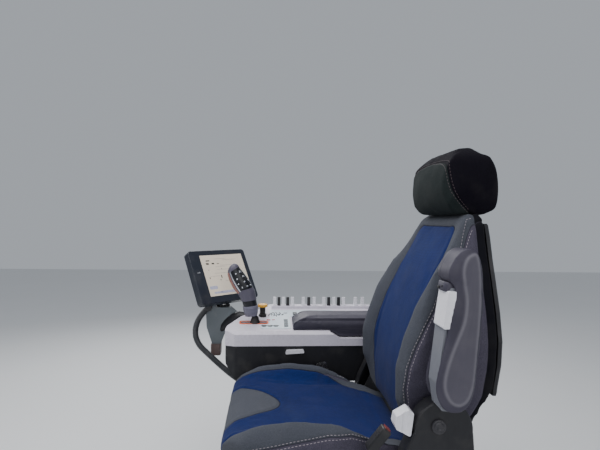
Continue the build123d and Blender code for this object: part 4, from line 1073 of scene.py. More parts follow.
class CAB_OT_back(Operator):
    """Upholsters the back: ribbed centre, bolsters, double seam and black rear trim"""

    bl_idname = "cab.back"
    bl_label = "Back cushion"

    def execute(self, context):
        cover = context.scene.cab_cover
        obj = padded_form("back_cover", "back_cushion", 0.0065, 0.004, 6, crown_back)
        places = points_of(obj.data)
        centre, side, _ = back_fields(places)
        behind = places[:, 1] - BACK_REAR
        held = np.maximum(held_near(np.minimum(np.abs(centre), np.abs(side)), 0.006), behind > -0.006)
        free = np.clip(-behind / 0.02, 0, 1) * np.clip((places[:, 2] - 0.49) / 0.05, 0.15, 1)
        swell(obj, cover.pressure, 0.008, held, free)
        refine(obj)
        places, ways = points_of(obj.data), normals_of(obj.data)
        centre, side, rear = back_fields(places)
        ahead = np.clip((0.1 - ways[:, 1]) / 0.2, 0, 1)
        outer = side > -0.04
        carve(obj, ((centre, ahead), (side, outer * 1.0), (rear, outer * 1.0)), cover)
        places = points_of(obj.data)
        centre, side, rear = back_fields(places)
        keep_panels(obj.data, centre, side, rear)
        fabric = cloth("back_cloth", cover.bolster, cover.side, cover.rear, cover, cover.centre)
        settle(obj, "backrest", fabric, 70.0, outward=False)
        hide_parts("back_cushion")
        live = (side > -0.04) & (rear < -0.01) & (places[:, 2] > 0.53)
        stitched("back_stitches", obj, side, live, cover, "backrest")
        return {"FINISHED"}


# The same columns as BACK_EDGE, for the headrest's double seam.
HEADREST_EDGE = (
    (1.07, 0.140, 0.342, 0.0), (1.080, 0.142, 0.330, 0.0), (1.100, 0.152, 0.306, 0.0), (1.118, 0.155, 0.288, 0.05),
    (1.134, 0.155, 0.277, 0.15), (1.160, 0.154, 0.267, 0.30), (1.181, 0.151, 0.263, 0.35), (1.205, 0.146, 0.263, 0.20),
    (1.225, 0.140, 0.268, 0.0), (1.30, 0.140, 0.276, 0.0),
)


def round_headrest(places):
    """Lowers the headrest onto the back, rounds its corners, fills its rear and clears the rods' flanges."""
    x, y, z = places.T
    low, high = z.min(), z.max()
    share = (z - low) / (high - low)
    height = 1.0690 + (1.2640 - 1.0690) * share
    corner = np.maximum(np.abs(share - 0.46) / 0.54 - 0.35, 0) ** 2
    width = 1 - 0.16 * corner
    ahead = 0.014 * np.maximum(0.16 - share, 0) / 0.16 * (1 - rise(y, 0.29, 0.34))
    rear = rise(y, 0.33, 0.395)
    behind = rear * (0.013 * (1 - ((share - 0.34) / 0.45) ** 2) - 0.010 * rise(share, 0.62, 1.0))
    bulge = 0.006 * (1 - (x / 0.155) ** 2) * (1 - rise(y, 0.27, 0.31))
    away = np.hypot(np.abs(x) - 0.062, y - 0.336) / 0.024
    height += 0.006 * np.exp(-(away**4)) * (share < 0.12)
    return np.column_stack((x * width, y + ahead + behind - bulge + 0.002, height))


class CAB_OT_headrest(Operator):
    """Upholsters the headrest: soft front panel, dark sides and a double seam"""

    bl_idname = "cab.headrest"
    bl_label = "Headrest"

    def execute(self, context):
        cover = context.scene.cab_cover
        obj = padded_form("headrest_cover", "headrest_pad", 0.005, 0.004, 6, round_headrest)
        side = edge_field(HEADREST_EDGE, *points_of(obj.data).T)
        swell(obj, cover.pressure, 0.008, held_near(side, 0.005), np.ones(len(side)))
        refine(obj)
        places = points_of(obj.data)
        carve(obj, ((edge_field(HEADREST_EDGE, *places.T), np.ones(len(places))),), cover)
        places = points_of(obj.data)
        side = edge_field(HEADREST_EDGE, *places.T)
        keep_panels(obj.data, ABSENT, side, ABSENT)
        fabric = cloth("headrest_cloth", cover.headrest, cover.headrest_side, cover.headrest_side, cover, sheen=0.02)
        settle(obj, "headrest", fabric, 70.0, outward=False)
        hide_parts("headrest_pad")
        live = places[:, 1] < 0.325
        stitched("headrest_stitches", obj, side, live, cover, "headrest", cover.dark_thread)
        return {"FINISHED"}


# Control points, in depth and height, of the armrest pad's side, of the groove that takes its arm and of the
# raised panel on its outer face.
PAD_SIDE = (
    (0.205, 0.912), (0.184, 0.928), (0.184, 0.952), (0.206, 0.988), (0.230, 0.999), (0.252, 0.989), (0.263, 0.948),
    (0.267, 0.878), (0.263, 0.798), (0.250, 0.694), (0.234, 0.650), (0.204, 0.637), (0.174, 0.650), (0.157, 0.696),
    (0.178, 0.778), (0.190, 0.846),
)
PAD_GROOVE = (
    (0.100, 0.600), (0.196, 0.630), (0.226, 0.644), (0.238, 0.668), (0.226, 0.690), (0.206, 0.716), (0.205, 0.790),
    (0.222, 0.860), (0.217, 0.914), (0.150, 0.914), (0.100, 0.900),
)
PAD_PANEL = (
    (0.243, 0.986), (0.222, 0.975), (0.214, 0.945), (0.221, 0.911), (0.226, 0.883), (0.222, 0.838), (0.204, 0.793),
    (0.187, 0.748), (0.177, 0.702), (0.188, 0.670), (0.207, 0.656), (0.228, 0.663), (0.241, 0.692), (0.247, 0.774),
    (0.254, 0.865), (0.253, 0.940), (0.248, 0.975),
)
# Where the pad starts and ends across, and the thickness of its cheeks beside the groove.
PAD_ACROSS = (0.284, 0.353)
PAD_CHEEK = (0.0062, 0.0088)
# Depth, height and radius of the opening for the hinge's pin.
PAD_PIN = (0.212, 0.668, 0.026)


def rounded_ring(points, rounds=4):
    """A closed outline with its corners cut again and again."""
    ring = np.array(points)
    for _ in range(rounds):
        after = np.roll(ring, -1, axis=0)
        ring = np.stack((0.75 * ring + 0.25 * after, 0.25 * ring + 0.75 * after), axis=1).reshape(-1, 2)
    return ring


def slab(name, ring, low, high):
    """A closed object with an outline in depth and height, from one place across to another."""
    rings = [[(x, y, z) for y, z in ring] for x in (low, high)]
    return form(name, *skin(rings))


def armrest_form():
    """The armrest pad's solid: a rounded slab with a groove for its arm, open towards the hinge's pin."""
    low, high = PAD_ACROSS
    pad = slab("armrest_cover", rounded_ring(PAD_SIDE), low, high)
    groove = slab("groove", rounded_ring(PAD_GROOVE, 2), low + PAD_CHEEK[0], high - PAD_CHEEK[1])
    y, z, radius = PAD_PIN
    ring = [(y + radius * math.cos(a), z + radius * math.sin(a)) for a in angles_round(32)]
    eye = slab("eye", ring, low - 0.01, low + 0.012)
    for cutter in (groove, eye):
        modify(pad, "BOOLEAN", operation="DIFFERENCE", object=cutter, solver="EXACT")
        bake(pad)
        bpy.data.objects.remove(cutter)
    return pad


def outline_distance(outline, first, second):
    """Signed distance from points to a closed outline: positive inside."""
    ring = np.array(outline)
    least = np.full(len(first), 9.0)
    inside = np.zeros(len(first), bool)
    for (a0, b0), (a1, b1) in zip(ring, np.roll(ring, -1, axis=0)):
        run = np.array((a1 - a0, b1 - b0))
        share = np.clip(((first - a0) * run[0] + (second - b0) * run[1]) / run.dot(run), 0, 1)
        least = np.minimum(least, np.hypot(first - a0 - share * run[0], second - b0 - share * run[1]))
        if b1 != b0:
            crosses = ((b0 > second) != (b1 > second)) & (first < (a1 - a0) * (second - b0) / (b1 - b0) + a0)
            inside ^= crosses
    return np.where(inside, least, -least)


class CAB_OT_armrest(Operator):
    """Moulds the folded armrest pad with its raised panel, and finishes its arm and handle"""

    bl_idname = "cab.armrest"
    bl_label = "Armrest"

    def execute(self, context):
        cover, mould = context.scene.cab_cover, context.scene.cab_mouldings
        obj = padded_form("armrest_cover", armrest_form(), 0.0032, 0.0, 7)
        places = points_of(obj.data)
        depth = -outline_distance(PAD_GROOVE, places[:, 1], places[:, 2])
        swell(obj, cover.pressure, 0.0035, np.zeros(len(places)), rise(depth, 0.002, 0.016))
        refine(obj)
        places, ways = points_of(obj.data), normals_of(obj.data)
        inner = outline_distance(rounded_ring(PAD_PANEL, 2), places[:, 1], places[:, 2])
        outer_face = np.clip((ways[:, 0] - 0.25) / 0.35, 0, 1)
        ridge = hump(inner, 0, 0.0032) * outer_face
        raised = np.clip(inner / 0.004, -1, 1) * 0.0011 * outer_face
        parting = hump(places[:, 0], 0.302, 0.0010) * (np.abs(ways[:, 0]) < 0.6)
        hollow = hump(inner, 0.022, 0.014) * outer_face * 0.0012
        lift = 0.0016 * ridge + raised - 0.0007 * parting - hollow
        move_points(obj.data, places + ways * lift[:, None])
        # Painted highlight: the ridge, and a little the raised panel's outer face, are painted lighter.
        keep_value(obj.data, "wear", np.clip(ridge * 1.1 + 0.35 * (inner > 0) * outer_face, 0, 1))
        foam = foam_skin("armrest_foam", mould.pads)
        settle(obj, "armrest", foam, 70.0, outward=False)
        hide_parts("armrest_pad")
        arm = moulded("arm_plastic", mould.arm, mould.grain, 0.5)
        dress(arm, "armrest_arm", "armrest_bracket")
        dress(moulded("handle_plastic", mould.levers, mould.grain, 0.42, 0.00005), "armrest_grip")
        rows = ((0.0, 0.0235, 0.0150), (0.003, 0.0250, 0.0165), (0.018, 0.0250, 0.0165), (0.021, 0.0235, 0.0150))
        collar = boss((0.3170, 0.1960, 0.9000), (0, 0.12, 1), rows, 32, 3.6, up=(0, -1, 0))
        piece("armrest_collar", *collar, "armrest", moulded("collar_plastic", mould.pads, mould.grain), "pad_foam", 35)
        # Painted shade: black raised marks stand where the collar's slot and the small hole beside it are in shade.
        slot_rows = ((-0.002, 0.0052, 0.0030), (0.0010, 0.0052, 0.0030), (0.0012, 0.0044, 0.0022))
        marks = join([
            boss((0.3080, 0.1795, 0.9080), (0, -1, 0.12), slot_rows, 20, 4.0),
            boss((0.3260, 0.1798, 0.9120), (0, -1, 0.12), ((-0.002, 0.0016, 0.0016), (0.0012, 0.0016, 0.0016)), 12),
        ])
        black = moulded("slot_black", (0.006, 0.006, 0.007), mould.grain)
        piece("collar_slots", *marks, "armrest", black, "arm_grey")
        return {"FINISHED"}


def flatten_elbow(places):
    """Lowers the pad's top and slopes its nose down to the deck."""
    x, y, z = places.T
    above = np.maximum(z - 0.655, 0)
    front = y.min()
    nose = 0.84 + 0.16 * rise(y, front, front + 0.045)
    return np.column_stack((x, y, np.minimum(z, 0.655) + above * 0.82 * nose))


class CAB_OT_elbow_pad(Operator):
    """Moulds the elbow pad on the console deck"""

    bl_idname = "cab.elbow_pad"
    bl_label = "Elbow pad"

    def execute(self, context):
        cover, mould = context.scene.cab_cover, context.scene.cab_mouldings
        obj = padded_form("elbow_cover", "elbow_pad", 0.004, 0.002, 9, flatten_elbow)
        ways = normals_of(obj.data)
        free = np.clip((ways[:, 2] + 0.5) / 0.5, 0, 1)
        swell(obj, cover.pressure, 0.0045, (ways[:, 2] < -0.6) * 1.0, free)
        refine(obj)
        places, ways = points_of(obj.data), normals_of(obj.data)
        high = places[:, 2].max()
        rim = hump(places[:, 2] - high, -0.017, 0.0022) * (np.abs(ways[:, 2]) < 0.85)
        parting = hump(places[:, 2], 0.668, 0.0010) * (np.abs(ways[:, 2]) < 0.6)
        move_points(obj.data, places - ways * (0.0008 * rim + 0.0005 * parting)[:, None])
        # The pad's colour is made lighter towards its top.
        keep_value(obj.data, "wear", np.clip((places[:, 2] - high + 0.014) / 0.012, 0, 1) * 0.45)
        settle(obj, "console", foam_skin("elbow_foam", mould.pads), 70.0, outward=False)
        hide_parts("elbow_pad")
        return {"FINISHED"}


# Metal frame


class CAB_OT_bellows(Operator):
    """Folds the rubber bellows round the suspension"""

    bl_idname = "cab.bellows"
    bl_label = "Bellows"

    def execute(self, context):
        sizes = context.scene.cab_frame
        low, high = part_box("gaiter")
        line = curve_of("bellows_rubber", [((0, 0, low.z + 0.0005), (0, 0, high.z - 0.0005))])
        rubber = rubbery("bellows_skin", sizes.rubber)
        values = {
            "Width": high.x - low.x - 0.001, "Length": high.y - low.y - 0.001, "Corner": 0.050,
            "Folds": sizes.folds, "Depth": sizes.fold_depth - 0.001, "Material": rubber,
        }
        made = grow(line, bellows_tree(), values)
        settle(made, "base", rubber, 70.0)
        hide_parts("gaiter")
        return {"FINISHED"}


def screw_shape():
    """A domed screw head with a hexagonal socket, one unit across, as an object to copy."""
    rows = ((0.0, 0.50), (0.10, 0.50), (0.22, 0.44), (0.27, 0.30), (0.27, 0.24), (0.10, 0.21))
    rings = []
    for height, radius in rows:
        ring = []
        for angle in angles_round(18):
            hexagon = math.cos(math.pi / 6) / math.cos((angle % (math.pi / 3)) - math.pi / 6)
            size = radius * (hexagon if radius < 0.25 else 1.0)
            ring.append((math.cos(angle) * size, math.sin(angle) * size, height))
        rings.append(ring)
    return form("screw_head", *skin(rings))


def screw_places():
    """Where the screws are: for each group its body, size and places with the way that each faces."""
    cover = [((0.2772, y, z), (1, 0, 0)) for y, z in ((0.125, 0.372), (0.262, 0.372), (0.262, 0.500))]
    far_cover = [((-x, y, z), (-1, 0, 0)) for (x, y, z), _ in cover]
    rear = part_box("back_moulding")[1].y
    spots = ((0.196, 0.660), (0.196, 0.850), (0.136, 1.018))
    back = [((side * x, rear, z), (0, 1, 0)) for side in (-1, 1) for x, z in spots]
    tub_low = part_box("console_tub")[0].x
    tub = [((tub_low, y, 0.560), (-1, 0, 0)) for y in (-0.12, 0.02, 0.17)]
    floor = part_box("floor_plate")[1].z
    base = [((x, y, floor), (0, 0, 1)) for x in (-0.216, 0.216) for y in (-0.196, 0.196)]
    return {
        "cover_screws": ("carriage", 0.010, cover + far_cover),
        "back_screws": ("backrest", 0.009, back),
        "tub_screws": ("console", 0.008, tub),
        "floor_bolts": ("base", 0.022, base),
    }


class CAB_OT_frame(Operator):
    """Finishes the floor plate, frames, slides and covers, and sets their screws"""

    bl_idname = "cab.frame"
    bl_label = "Frame and slides"

    def execute(self, context):
        sizes, mould = context.scene.cab_frame, context.scene.cab_mouldings
        dress(painted("frame_paint", sizes.paint, 0.45), "floor_plate", "lower_frame", "upper_frame", "seat_pan",
              "side_plates", "suspension_tube", "back_arms", "headrest_guides")
        dress(plated("zinc_steel", sizes.zinc), "slide_rails", "slide_runners", "console_runner", "rail_bar",
              "console_arm")
        dress(painted("bar_paint", sizes.paint, 0.32, 0.3), "fore_aft_bar", "conduit_glands")
        dress(plated("rod_steel", (0.62, 0.62, 0.63), 0.16, (1, 1, 9)), "headrest_rods")
        dress(moulded("cover_plastic", mould.covers, mould.grain, 0.5), "side_cover_left", "side_cover_right",
              "back_moulding")
        dress(moulded("lever_plastic", mould.levers, mould.grain, 0.4, 0.00005), "recline_lever", "weight_lever",
              "release_lever")
        dress(moulded("buckle_plastic", (0.012, 0.012, 0.014), 0.0009, 0.34), "belt_buckle", "belt_retractor")
        dress(moulded("button_red", (0.16, 0.012, 0.012), 0.0009, 0.35), "buckle_button")
        dress(plated("belt_plate", (0.55, 0.55, 0.56), 0.24), "belt_tongue")
        rows = ((-0.003, 0.0168, 0.0168), (0.0016, 0.0168, 0.0168), (0.0026, 0.0150, 0.0150), (0.0020, 0.0122, 0.0122),
                (0.0034, 0.0106, 0.0106), (0.0038, 0.0070, 0.0070), (0.0026, 0.0052, 0.0052), (0.0026, 0.0020, 0.0020))
        caps = [boss((side * 0.2790, 0.198, 0.578), (side, 0, 0), rows, 32) for side in (-1, 1)]
        cap = moulded("cap_ring", (0.028, 0.027, 0.033), mould.grain, 0.34)
        piece("pivot_caps", *join(caps), "carriage", cap, "cover_plastic", 35)
        steel = plated("screw_steel", (0.30, 0.30, 0.31), 0.3)
        head = screw_shape()
        for name, (body, size, places) in screw_places().items():
            scattered(name, head, places, size, body, steel)
        bpy.data.objects.remove(head)
        return {"FINISHED"}


# Console and joystick


GRIP_FOOT = (-0.380, -0.246, 0.6689)
# Offsets across and back from the foot, height above it, half width and half depth, in metres.
GRIP_ROWS = (
    (0.000, -0.017, 0.026, 0.0205, 0.0225), (0.000, -0.019, 0.044, 0.0240, 0.0265),
    (0.000, -0.021, 0.063, 0.0243, 0.0270), (0.000, -0.027, 0.088, 0.0250, 0.0280),
    (0.000, -0.036, 0.113, 0.0258, 0.0318), (0.001, -0.055, 0.143, 0.0260, 0.0330),
    (0.003, -0.073, 0.172, 0.0248, 0.0295), (0.004, -0.084, 0.192, 0.0222, 0.0250),
    (0.005, -0.092, 0.218, 0.0130, 0.0140),
)
# Height where the grip's domed top starts, the dome's rise, and its half widths there.
GRIP_TOP = (0.190, 0.0272, 0.0226, 0.0252)
# Points round the grip, and the thickness of the plates on it.
GRIP_AROUND = 48
GRIP_PLATE = 0.0016


def grip_ring(height, lift=0.0):
    """One ring of the joystick's grip at a height, moved outwards by a lift."""
    rows = np.array(GRIP_ROWS)
    x, y, half_x, half_y = (np.interp(height, rows[:, 2], rows[:, i]) for i in (0, 1, 3, 4))
    start, dome, *halves = GRIP_TOP
    if height > start:
        rounding = math.sqrt(max(0.0, 1 - ((height - start) / dome) ** 2))
        half_x, half_y = (half * rounding for half in halves)
    lean = math.radians(0.42 * (-y * 1000 - 6))
    ring = []
    for angle in angles_round(GRIP_AROUND):
        u = bulged(math.cos(angle), 0.86) * (half_x + lift)
        v = bulged(math.sin(angle), 0.86) * (half_y + lift)
        ring.append((GRIP_FOOT[0] + x + u, GRIP_FOOT[1] + y + v * math.cos(lean),
                     GRIP_FOOT[2] + height + v * math.sin(lean)))
    return ring


def grip_index(angle):
    """Number of the point round the grip at an angle in degrees."""
    return round(angle / 360 * GRIP_AROUND)


def grip_patch(heights, first, last, lift):
    """A curved plate that follows the grip between two angles in degrees, with rounded edges."""
    chosen = [i % GRIP_AROUND for i in range(grip_index(first), grip_index(last) + 1)]
    count = len(chosen)
    outer, inner = [], []
    for row, height in enumerate(heights):
        sunk = grip_ring(height, lift - GRIP_PLATE)
        proud = sunk if row in (0, len(heights) - 1) else grip_ring(height, lift)
        outer.append([proud[i] for i in chosen])
        inner.append([sunk[i] for i in chosen])
        outer[-1][0], outer[-1][-1] = inner[-1][0], inner[-1][-1]
    places = [p for ring in outer + inner[::-1] for p in ring]
    rows = len(places) // count
    faces = []
    for row in range(rows):
        for i in range(count - 1):
            below = (row + 1) % rows
            faces.append((row * count + i, row * count + i + 1, below * count + i + 1, below * count + i))
    return places, faces


def grip_spot(height, angle):
    """A place on the grip's skin and the way that it faces."""
    index = grip_index(angle) % GRIP_AROUND
    here, out = (Vector(grip_ring(height, lift)[index]) for lift in (0.0, 0.01))
    return here, (out - here).normalized()


class CAB_OT_joystick(Operator):
    """Shapes the joystick's grip with its collar, side panel, face plate and buttons"""

    bl_idname = "cab.joystick"
    bl_label = "Joystick"

    def execute(self, context):
        mould = context.scene.cab_mouldings
        body = moulded("grip_plastic", mould.grip, 0.0008, 0.40, 0.00006)
        grey = moulded("grip_collar", (0.15, 0.145, 0.195), 0.0009, 0.45, 0.00006)
        black = moulded("grip_black", (0.010, 0.011, 0.015), 0.0009, 0.3, 0.00005)
        copper = moulded("grip_panel", mould.copper, 0.0008, 0.34, 0.00004)
        silver = plated("grip_trim", (0.62, 0.63, 0.66), 0.22)
        heights = [0.0840 + i * 0.0036 for i in range(29)] + [0.1910, 0.1965, 0.2015, 0.2060, 0.2100, 0.2135, 0.2162]
        grip = piece("joystick_handle", *skin([grip_ring(h) for h in heights]), "console", body, "grip_dark", 60)
        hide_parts("joystick_grip")
        rows = (
            (0.0255, -0.0020), (0.0270, 0.0), (0.036, 0.0008), (0.0365, -0.0004), (0.038, -0.0004),
            (0.0385, 0.0008), (0.051, 0.0012), (0.0515, 0.0), (0.053, 0.0), (0.0535, 0.0012), (0.0625, 0.0008),
            (0.0645, -0.0025),
        )
        piece("joystick_collar", *skin([grip_ring(h, d) for h, d in rows]), "console", grey, "grip_dark", 40)
        rows = ((0.0630, -0.004), (0.0640, -0.0016), (0.0845, -0.0016), (0.0860, -0.004))
        piece("joystick_band", *skin([grip_ring(h, d) for h, d in rows]), "console", black, "grip_dark", 40)
        panel = grip_patch([0.116 + i * 0.0046 for i in range(19)], -142, -38, 0.0011)
        piece("joystick_panel", *panel, "console", copper, "grip_dark", 40)
        plate = grip_patch([0.124 + i * 0.0041 for i in range(19)], -24, 84, 0.0012)
        piece("joystick_face", *plate, "console", black, "grip_dark", 40)
        edges = [grip_patch([0.122 + i * 0.0041 for i in range(20)], first, first + 8, 0.0018) for first in (-32, 84)]
        piece("joystick_trim", *join(edges), "console", silver, "grip_dark", 40)
        buttons = []
        for height, angle, size in ((0.134, 0, 3.2), (0.134, 30, 3.6), (0.134, 62, 3.2), (0.149, -4, 3.2),
                                    (0.149, 30, 4.2), (0.149, 64, 3.2), (0.165, 0, 3.4), (0.165, 45, 4.2),
                                    (0.182, 8, 3.2), (0.181, 48, 5.0)):
            spot, way = grip_spot(height, angle)
            r = size / 1000
            rows = ((0.0005, r, r * 0.8), (0.0024, r, r * 0.8), (0.0032, r * 0.8, r * 0.6), (0.0034, r * 0.3, r * 0.2))
            buttons.append(boss(spot, way, rows, 16, 3.0))
        piece("joystick_buttons", *join(buttons), "console", silver, "grip_dark", 50)
        dress(rubbery("boot_rubber", (0.012, 0.012, 0.014)), "joystick_stem")
        return {"FINISHED"}


def deck_height(x):
    """Height of the deck's sloping top at a distance across."""
    return 0.655 + (-0.292 - x) * 45 / 284


# Generic squiggles and bars on the control panel: a run of places (across, back).
PANEL_SQUIGGLES = (
    ((-0.448, -0.199), (-0.459, -0.196), (-0.465, -0.190), (-0.457, -0.185), (-0.446, -0.187)),
    ((-0.469, -0.188), (-0.476, -0.182), (-0.469, -0.176), (-0.456, -0.178), (-0.448, -0.174)),
    ((-0.442, -0.180), (-0.450, -0.174), (-0.444, -0.167), (-0.435, -0.168)),
    ((-0.478, -0.172), (-0.469, -0.167), (-0.457, -0.168), (-0.454, -0.162), (-0.463, -0.157)),
    ((-0.442, -0.160), (-0.454, -0.156), (-0.467, -0.152), (-0.475, -0.156)),
)
PANEL_RED_MARKS = (((-0.401, -0.206), (-0.403, -0.199), (-0.400, -0.192)), ((-0.400, -0.185), (-0.402, -0.175)))
PANEL_BARS = (
    ((-0.452, -0.150), (-0.452, -0.142)), ((-0.458, -0.146), (-0.458, -0.140)), ((-0.470, -0.140), (-0.470, -0.126)),
    ((-0.345, -0.225), (-0.345, -0.160)), ((-0.335, -0.110), (-0.335, -0.090)),
)


def panel_marks(lines, radius):
    """Printed marks as thin low tubes on the sloping panel."""
    parts = []
    for line in lines:
        rows = np.array(line)
        share = np.linspace(0, len(rows) - 1, 6 * len(rows))
        x, y = (np.interp(share, range(len(rows)), rows[:, i]) for i in (0, 1))
        for _ in range(3):
            x[1:-1] = (x[:-2] + 2 * x[1:-1] + x[2:]) / 4
            y[1:-1] = (y[:-2] + 2 * y[1:-1] + y[2:]) / 4
        z = deck_height(x) + 0.0018
        parts.append(tube(np.column_stack((x, y, z)), radius, 6))
    return join(parts)


class CAB_OT_console(Operator):
    """Finishes the console: deck, tub, panel with its marks, keys, levers and stop knob"""

    bl_idname = "cab.console"
    bl_label = "Console"

    def execute(self, context):
        mould = context.scene.cab_mouldings
        dress(moulded("deck_plastic", mould.deck, mould.grain, 0.46, 0.00008, 0.05), "console_deck")
        dress(moulded("tub_plastic", mould.tub, mould.grain, 0.5), "console_tub")
        dress(moulded("panel_film", mould.panel, 0.0008, 0.38, 0.00003, 0.03), "control_panel")
        dress(moulded("key_plastic", mould.keys, 0.0008, 0.36, 0.00004), "panel_keys")
        dress(rubbery("gate_rubber", mould.gate, 0.5, 0.05), "joystick_gate")
        dress(moulded("finger_plastic", mould.levers, 0.0009, 0.38, 0.00004), "finger_levers_grey")
        dress(moulded("finger_black", mould.tub, 0.0009, 0.36, 0.00004), "finger_levers_black")
        dress(moulded("knob_plastic", (0.018, 0.017, 0.017), 0.0009, 0.35), "stop_knob")
        dress(moulded("cap_plastic", mould.cap, 0.0009, 0.32, 0.00004), "stop_knob_cap")
        dark = moulded("mark_ink", (0.05, 0.055, 0.065), 0.0008, 0.5, 0.00002)
        red = moulded("mark_red", (0.55, 0.10, 0.12), 0.0008, 0.5, 0.00002)
        marks = panel_marks(PANEL_SQUIGGLES + PANEL_BARS, 0.0016)
        piece("panel_marks", *marks, "console", dark, "key_black", 80)
        piece("panel_red_marks", *panel_marks(PANEL_RED_MARKS, 0.0018), "console", red, "gate_orange", 80)
        return {"FINISHED"}


# Monitor


MONITOR_CENTRE = Vector((-0.512, -0.378, 0.831))
MONITOR_YAW = math.radians(48.3)
MONITOR_TILT = math.radians(29.5)
SCREEN_CENTRE = (0.012, 0.002)
SCREEN_SIZE = (0.204, 0.172)
# Generic marks on the display: share across and down, width and height in metres.
SCREEN_INK = (
    (0.15, 0.14, 0.017, 0.0045), (0.13, 0.215, 0.013, 0.0070), (0.255, 0.215, 0.012, 0.0060),
    (0.37, 0.225, 0.011, 0.0024), (0.42, 0.36, 0.0040, 0.0030), (0.37, 0.55, 0.0042, 0.0125),
    (0.33, 0.625, 0.0030, 0.0050), (0.12, 0.37, 0.0030, 0.0030), (0.10, 0.565, 0.0028, 0.0080),
)
SCREEN_LINES = (
    (0.45, 0.10, 0.060, 0.0011), (0.66, 0.13, 0.070, 0.0011), (0.62, 0.27, 0.085, 0.0011), (0.40, 0.30, 0.045, 0.0010),
    (0.55, 0.37, 0.100, 0.0010), (0.52, 0.46, 0.120, 0.0010), (0.22, 0.53, 0.045, 0.0010), (0.60, 0.66, 0.070, 0.0010),
)
SCREEN_STRIPS = ((0.46, 0.925, 0.088, 0.0100), (0.20, 0.925, 0.040, 0.0080), (0.12, 0.80, 0.036, 0.0130))


def monitor_axes():
    """Right, up and outward directions of the monitor's face."""
    level = Vector((math.sin(MONITOR_YAW), math.cos(MONITOR_YAW), 0))
    out = level * math.cos(MONITOR_TILT) + Vector((0, 0, 1)) * math.sin(MONITOR_TILT)
    up = Vector((0, 0, 1)) * math.cos(MONITOR_TILT) - level * math.sin(MONITOR_TILT)
    return up.cross(out).normalized(), up, out


def monitor_boss(across, up, depth, rows, around=20, squareness=6.0, back=False):
    """A boss on the monitor's face, or on its back, at a place across and up from its middle."""
    right, rise, out = monitor_axes()
    place = MONITOR_CENTRE + right * across + rise * up + out * depth
    return boss(place, -out if back else out, rows, around, squareness, up=rise)


def screen_marks(marks):
    """Flat marks printed on the display."""
    parts = []
    for across, down, width, height in marks:
        x = SCREEN_CENTRE[0] + (across - 0.5) * SCREEN_SIZE[0]
        y = SCREEN_CENTRE[1] + (0.5 - down) * SCREEN_SIZE[1]
        rows = ((-0.0004, width / 2, height / 2), (0.0003, width / 2, height / 2))
        parts.append(monitor_boss(x, y, 0.0, rows, 16))
    return join(parts)


# The black shroud between the bracket and the console: x, y and z of its middle, and its radius.
SHROUD = (
    (-0.500, -0.388, 0.612, 0.012), (-0.499, -0.380, 0.624, 0.017), (-0.497, -0.362, 0.640, 0.020),
    (-0.490, -0.334, 0.656, 0.024), (-0.480, -0.304, 0.664, 0.027), (-0.472, -0.272, 0.662, 0.024),
    (-0.468, -0.246, 0.655, 0.014),
)


class CAB_OT_monitor(Operator):
    """Finishes the monitor, its screen marks, its button and its bracket"""

    bl_idname = "cab.monitor"
    bl_label = "Monitor"

    def execute(self, context):
        mould, sizes = context.scene.cab_mouldings, context.scene.cab_frame
        dress(moulded("housing_plastic", mould.housing, 0.0010, 0.38, 0.00008, 0.05), "monitor_housing")
        dress(screen_finish("screen_glass", mould.screen), "monitor_screen")
        dress(painted("bracket_paint", sizes.bracket, 0.45, 0.3), "monitor_bracket")
        dress(painted("clamp_paint", sizes.clamp, 0.5, 0.4), "bracket_clamp")
        yoke = painted("yoke_paint", sizes.paint, 0.4, 0.3)
        dress(yoke, "monitor_yoke")
        ink = moulded("screen_ink", (0.035, 0.028, 0.022), 0.0008, 0.3, 0.00001, 0.0)
        faint = moulded("screen_faint", (0.46, 0.40, 0.36), 0.0008, 0.3, 0.00001, 0.0)
        strip = moulded("screen_strip", (0.46, 0.46, 0.60), 0.0008, 0.3, 0.00001, 0.0)
        piece("screen_icons", *screen_marks(SCREEN_INK), "monitor", ink, "monitor_dark", 40)
        piece("screen_rules", *screen_marks(SCREEN_LINES), "monitor", faint, "screen_face", 40)
        piece("screen_strips", *screen_marks(SCREEN_STRIPS), "monitor", strip, "screen_face", 40)
        rows = ((-0.001, 0.0055, 0.0018), (0.0008, 0.0055, 0.0018), (0.0013, 0.0046, 0.0010))
        button = monitor_boss(-0.1125, 0.016, 0.0, rows)
        piece("bezel_button", *button, "monitor", plated("button_silver", (0.62, 0.62, 0.64), 0.3), "rod_steel", 40)
        rows = ((-0.001, 0.055, 0.0016), (0.0007, 0.055, 0.0016), (0.0010, 0.054, 0.0008))
        vents = [monitor_boss(0, 0.044 - 0.008 * i, -0.052, rows, back=True) for i in range(7)]
        piece("rear_vents", *join(vents), "monitor", yoke, "monitor_dark", 40)
        places = points_of(frame["nodes"]["monitor_yoke"].data)
        near = Vector(places[places[:, 2] > places[:, 2].max() - 0.010].mean(axis=0))
        rows = ((-0.002, 0.0095, 0.0095), (0.004, 0.0110, 0.0110), (0.010, 0.0105, 0.0105), (0.013, 0.0080, 0.0080),
                (0.0135, 0.0035, 0.0035), (0.0120, 0.0030, 0.0030))
        along = -monitor_axes()[0]
        knob = boss(near - along * 0.0225, -along, rows, 24)
        brass = plated("knob_copper", (0.42, 0.25, 0.15), 0.3)
        piece("yoke_knob", *knob, "console", brass, "clamp_brown", 40)
        rings = [
            [(x + r * math.cos(a), y - 0.4 * r * math.sin(a), z + r * math.sin(a)) for a in angles_round(24)]
            for x, y, z, r in SHROUD
        ]
        black = moulded("shroud_plastic", mould.tub, mould.grain, 0.42)
        piece("bracket_shroud", *skin(rings), "console", black, "console_dark", 60)
        return {"FINISHED"}


# Stage


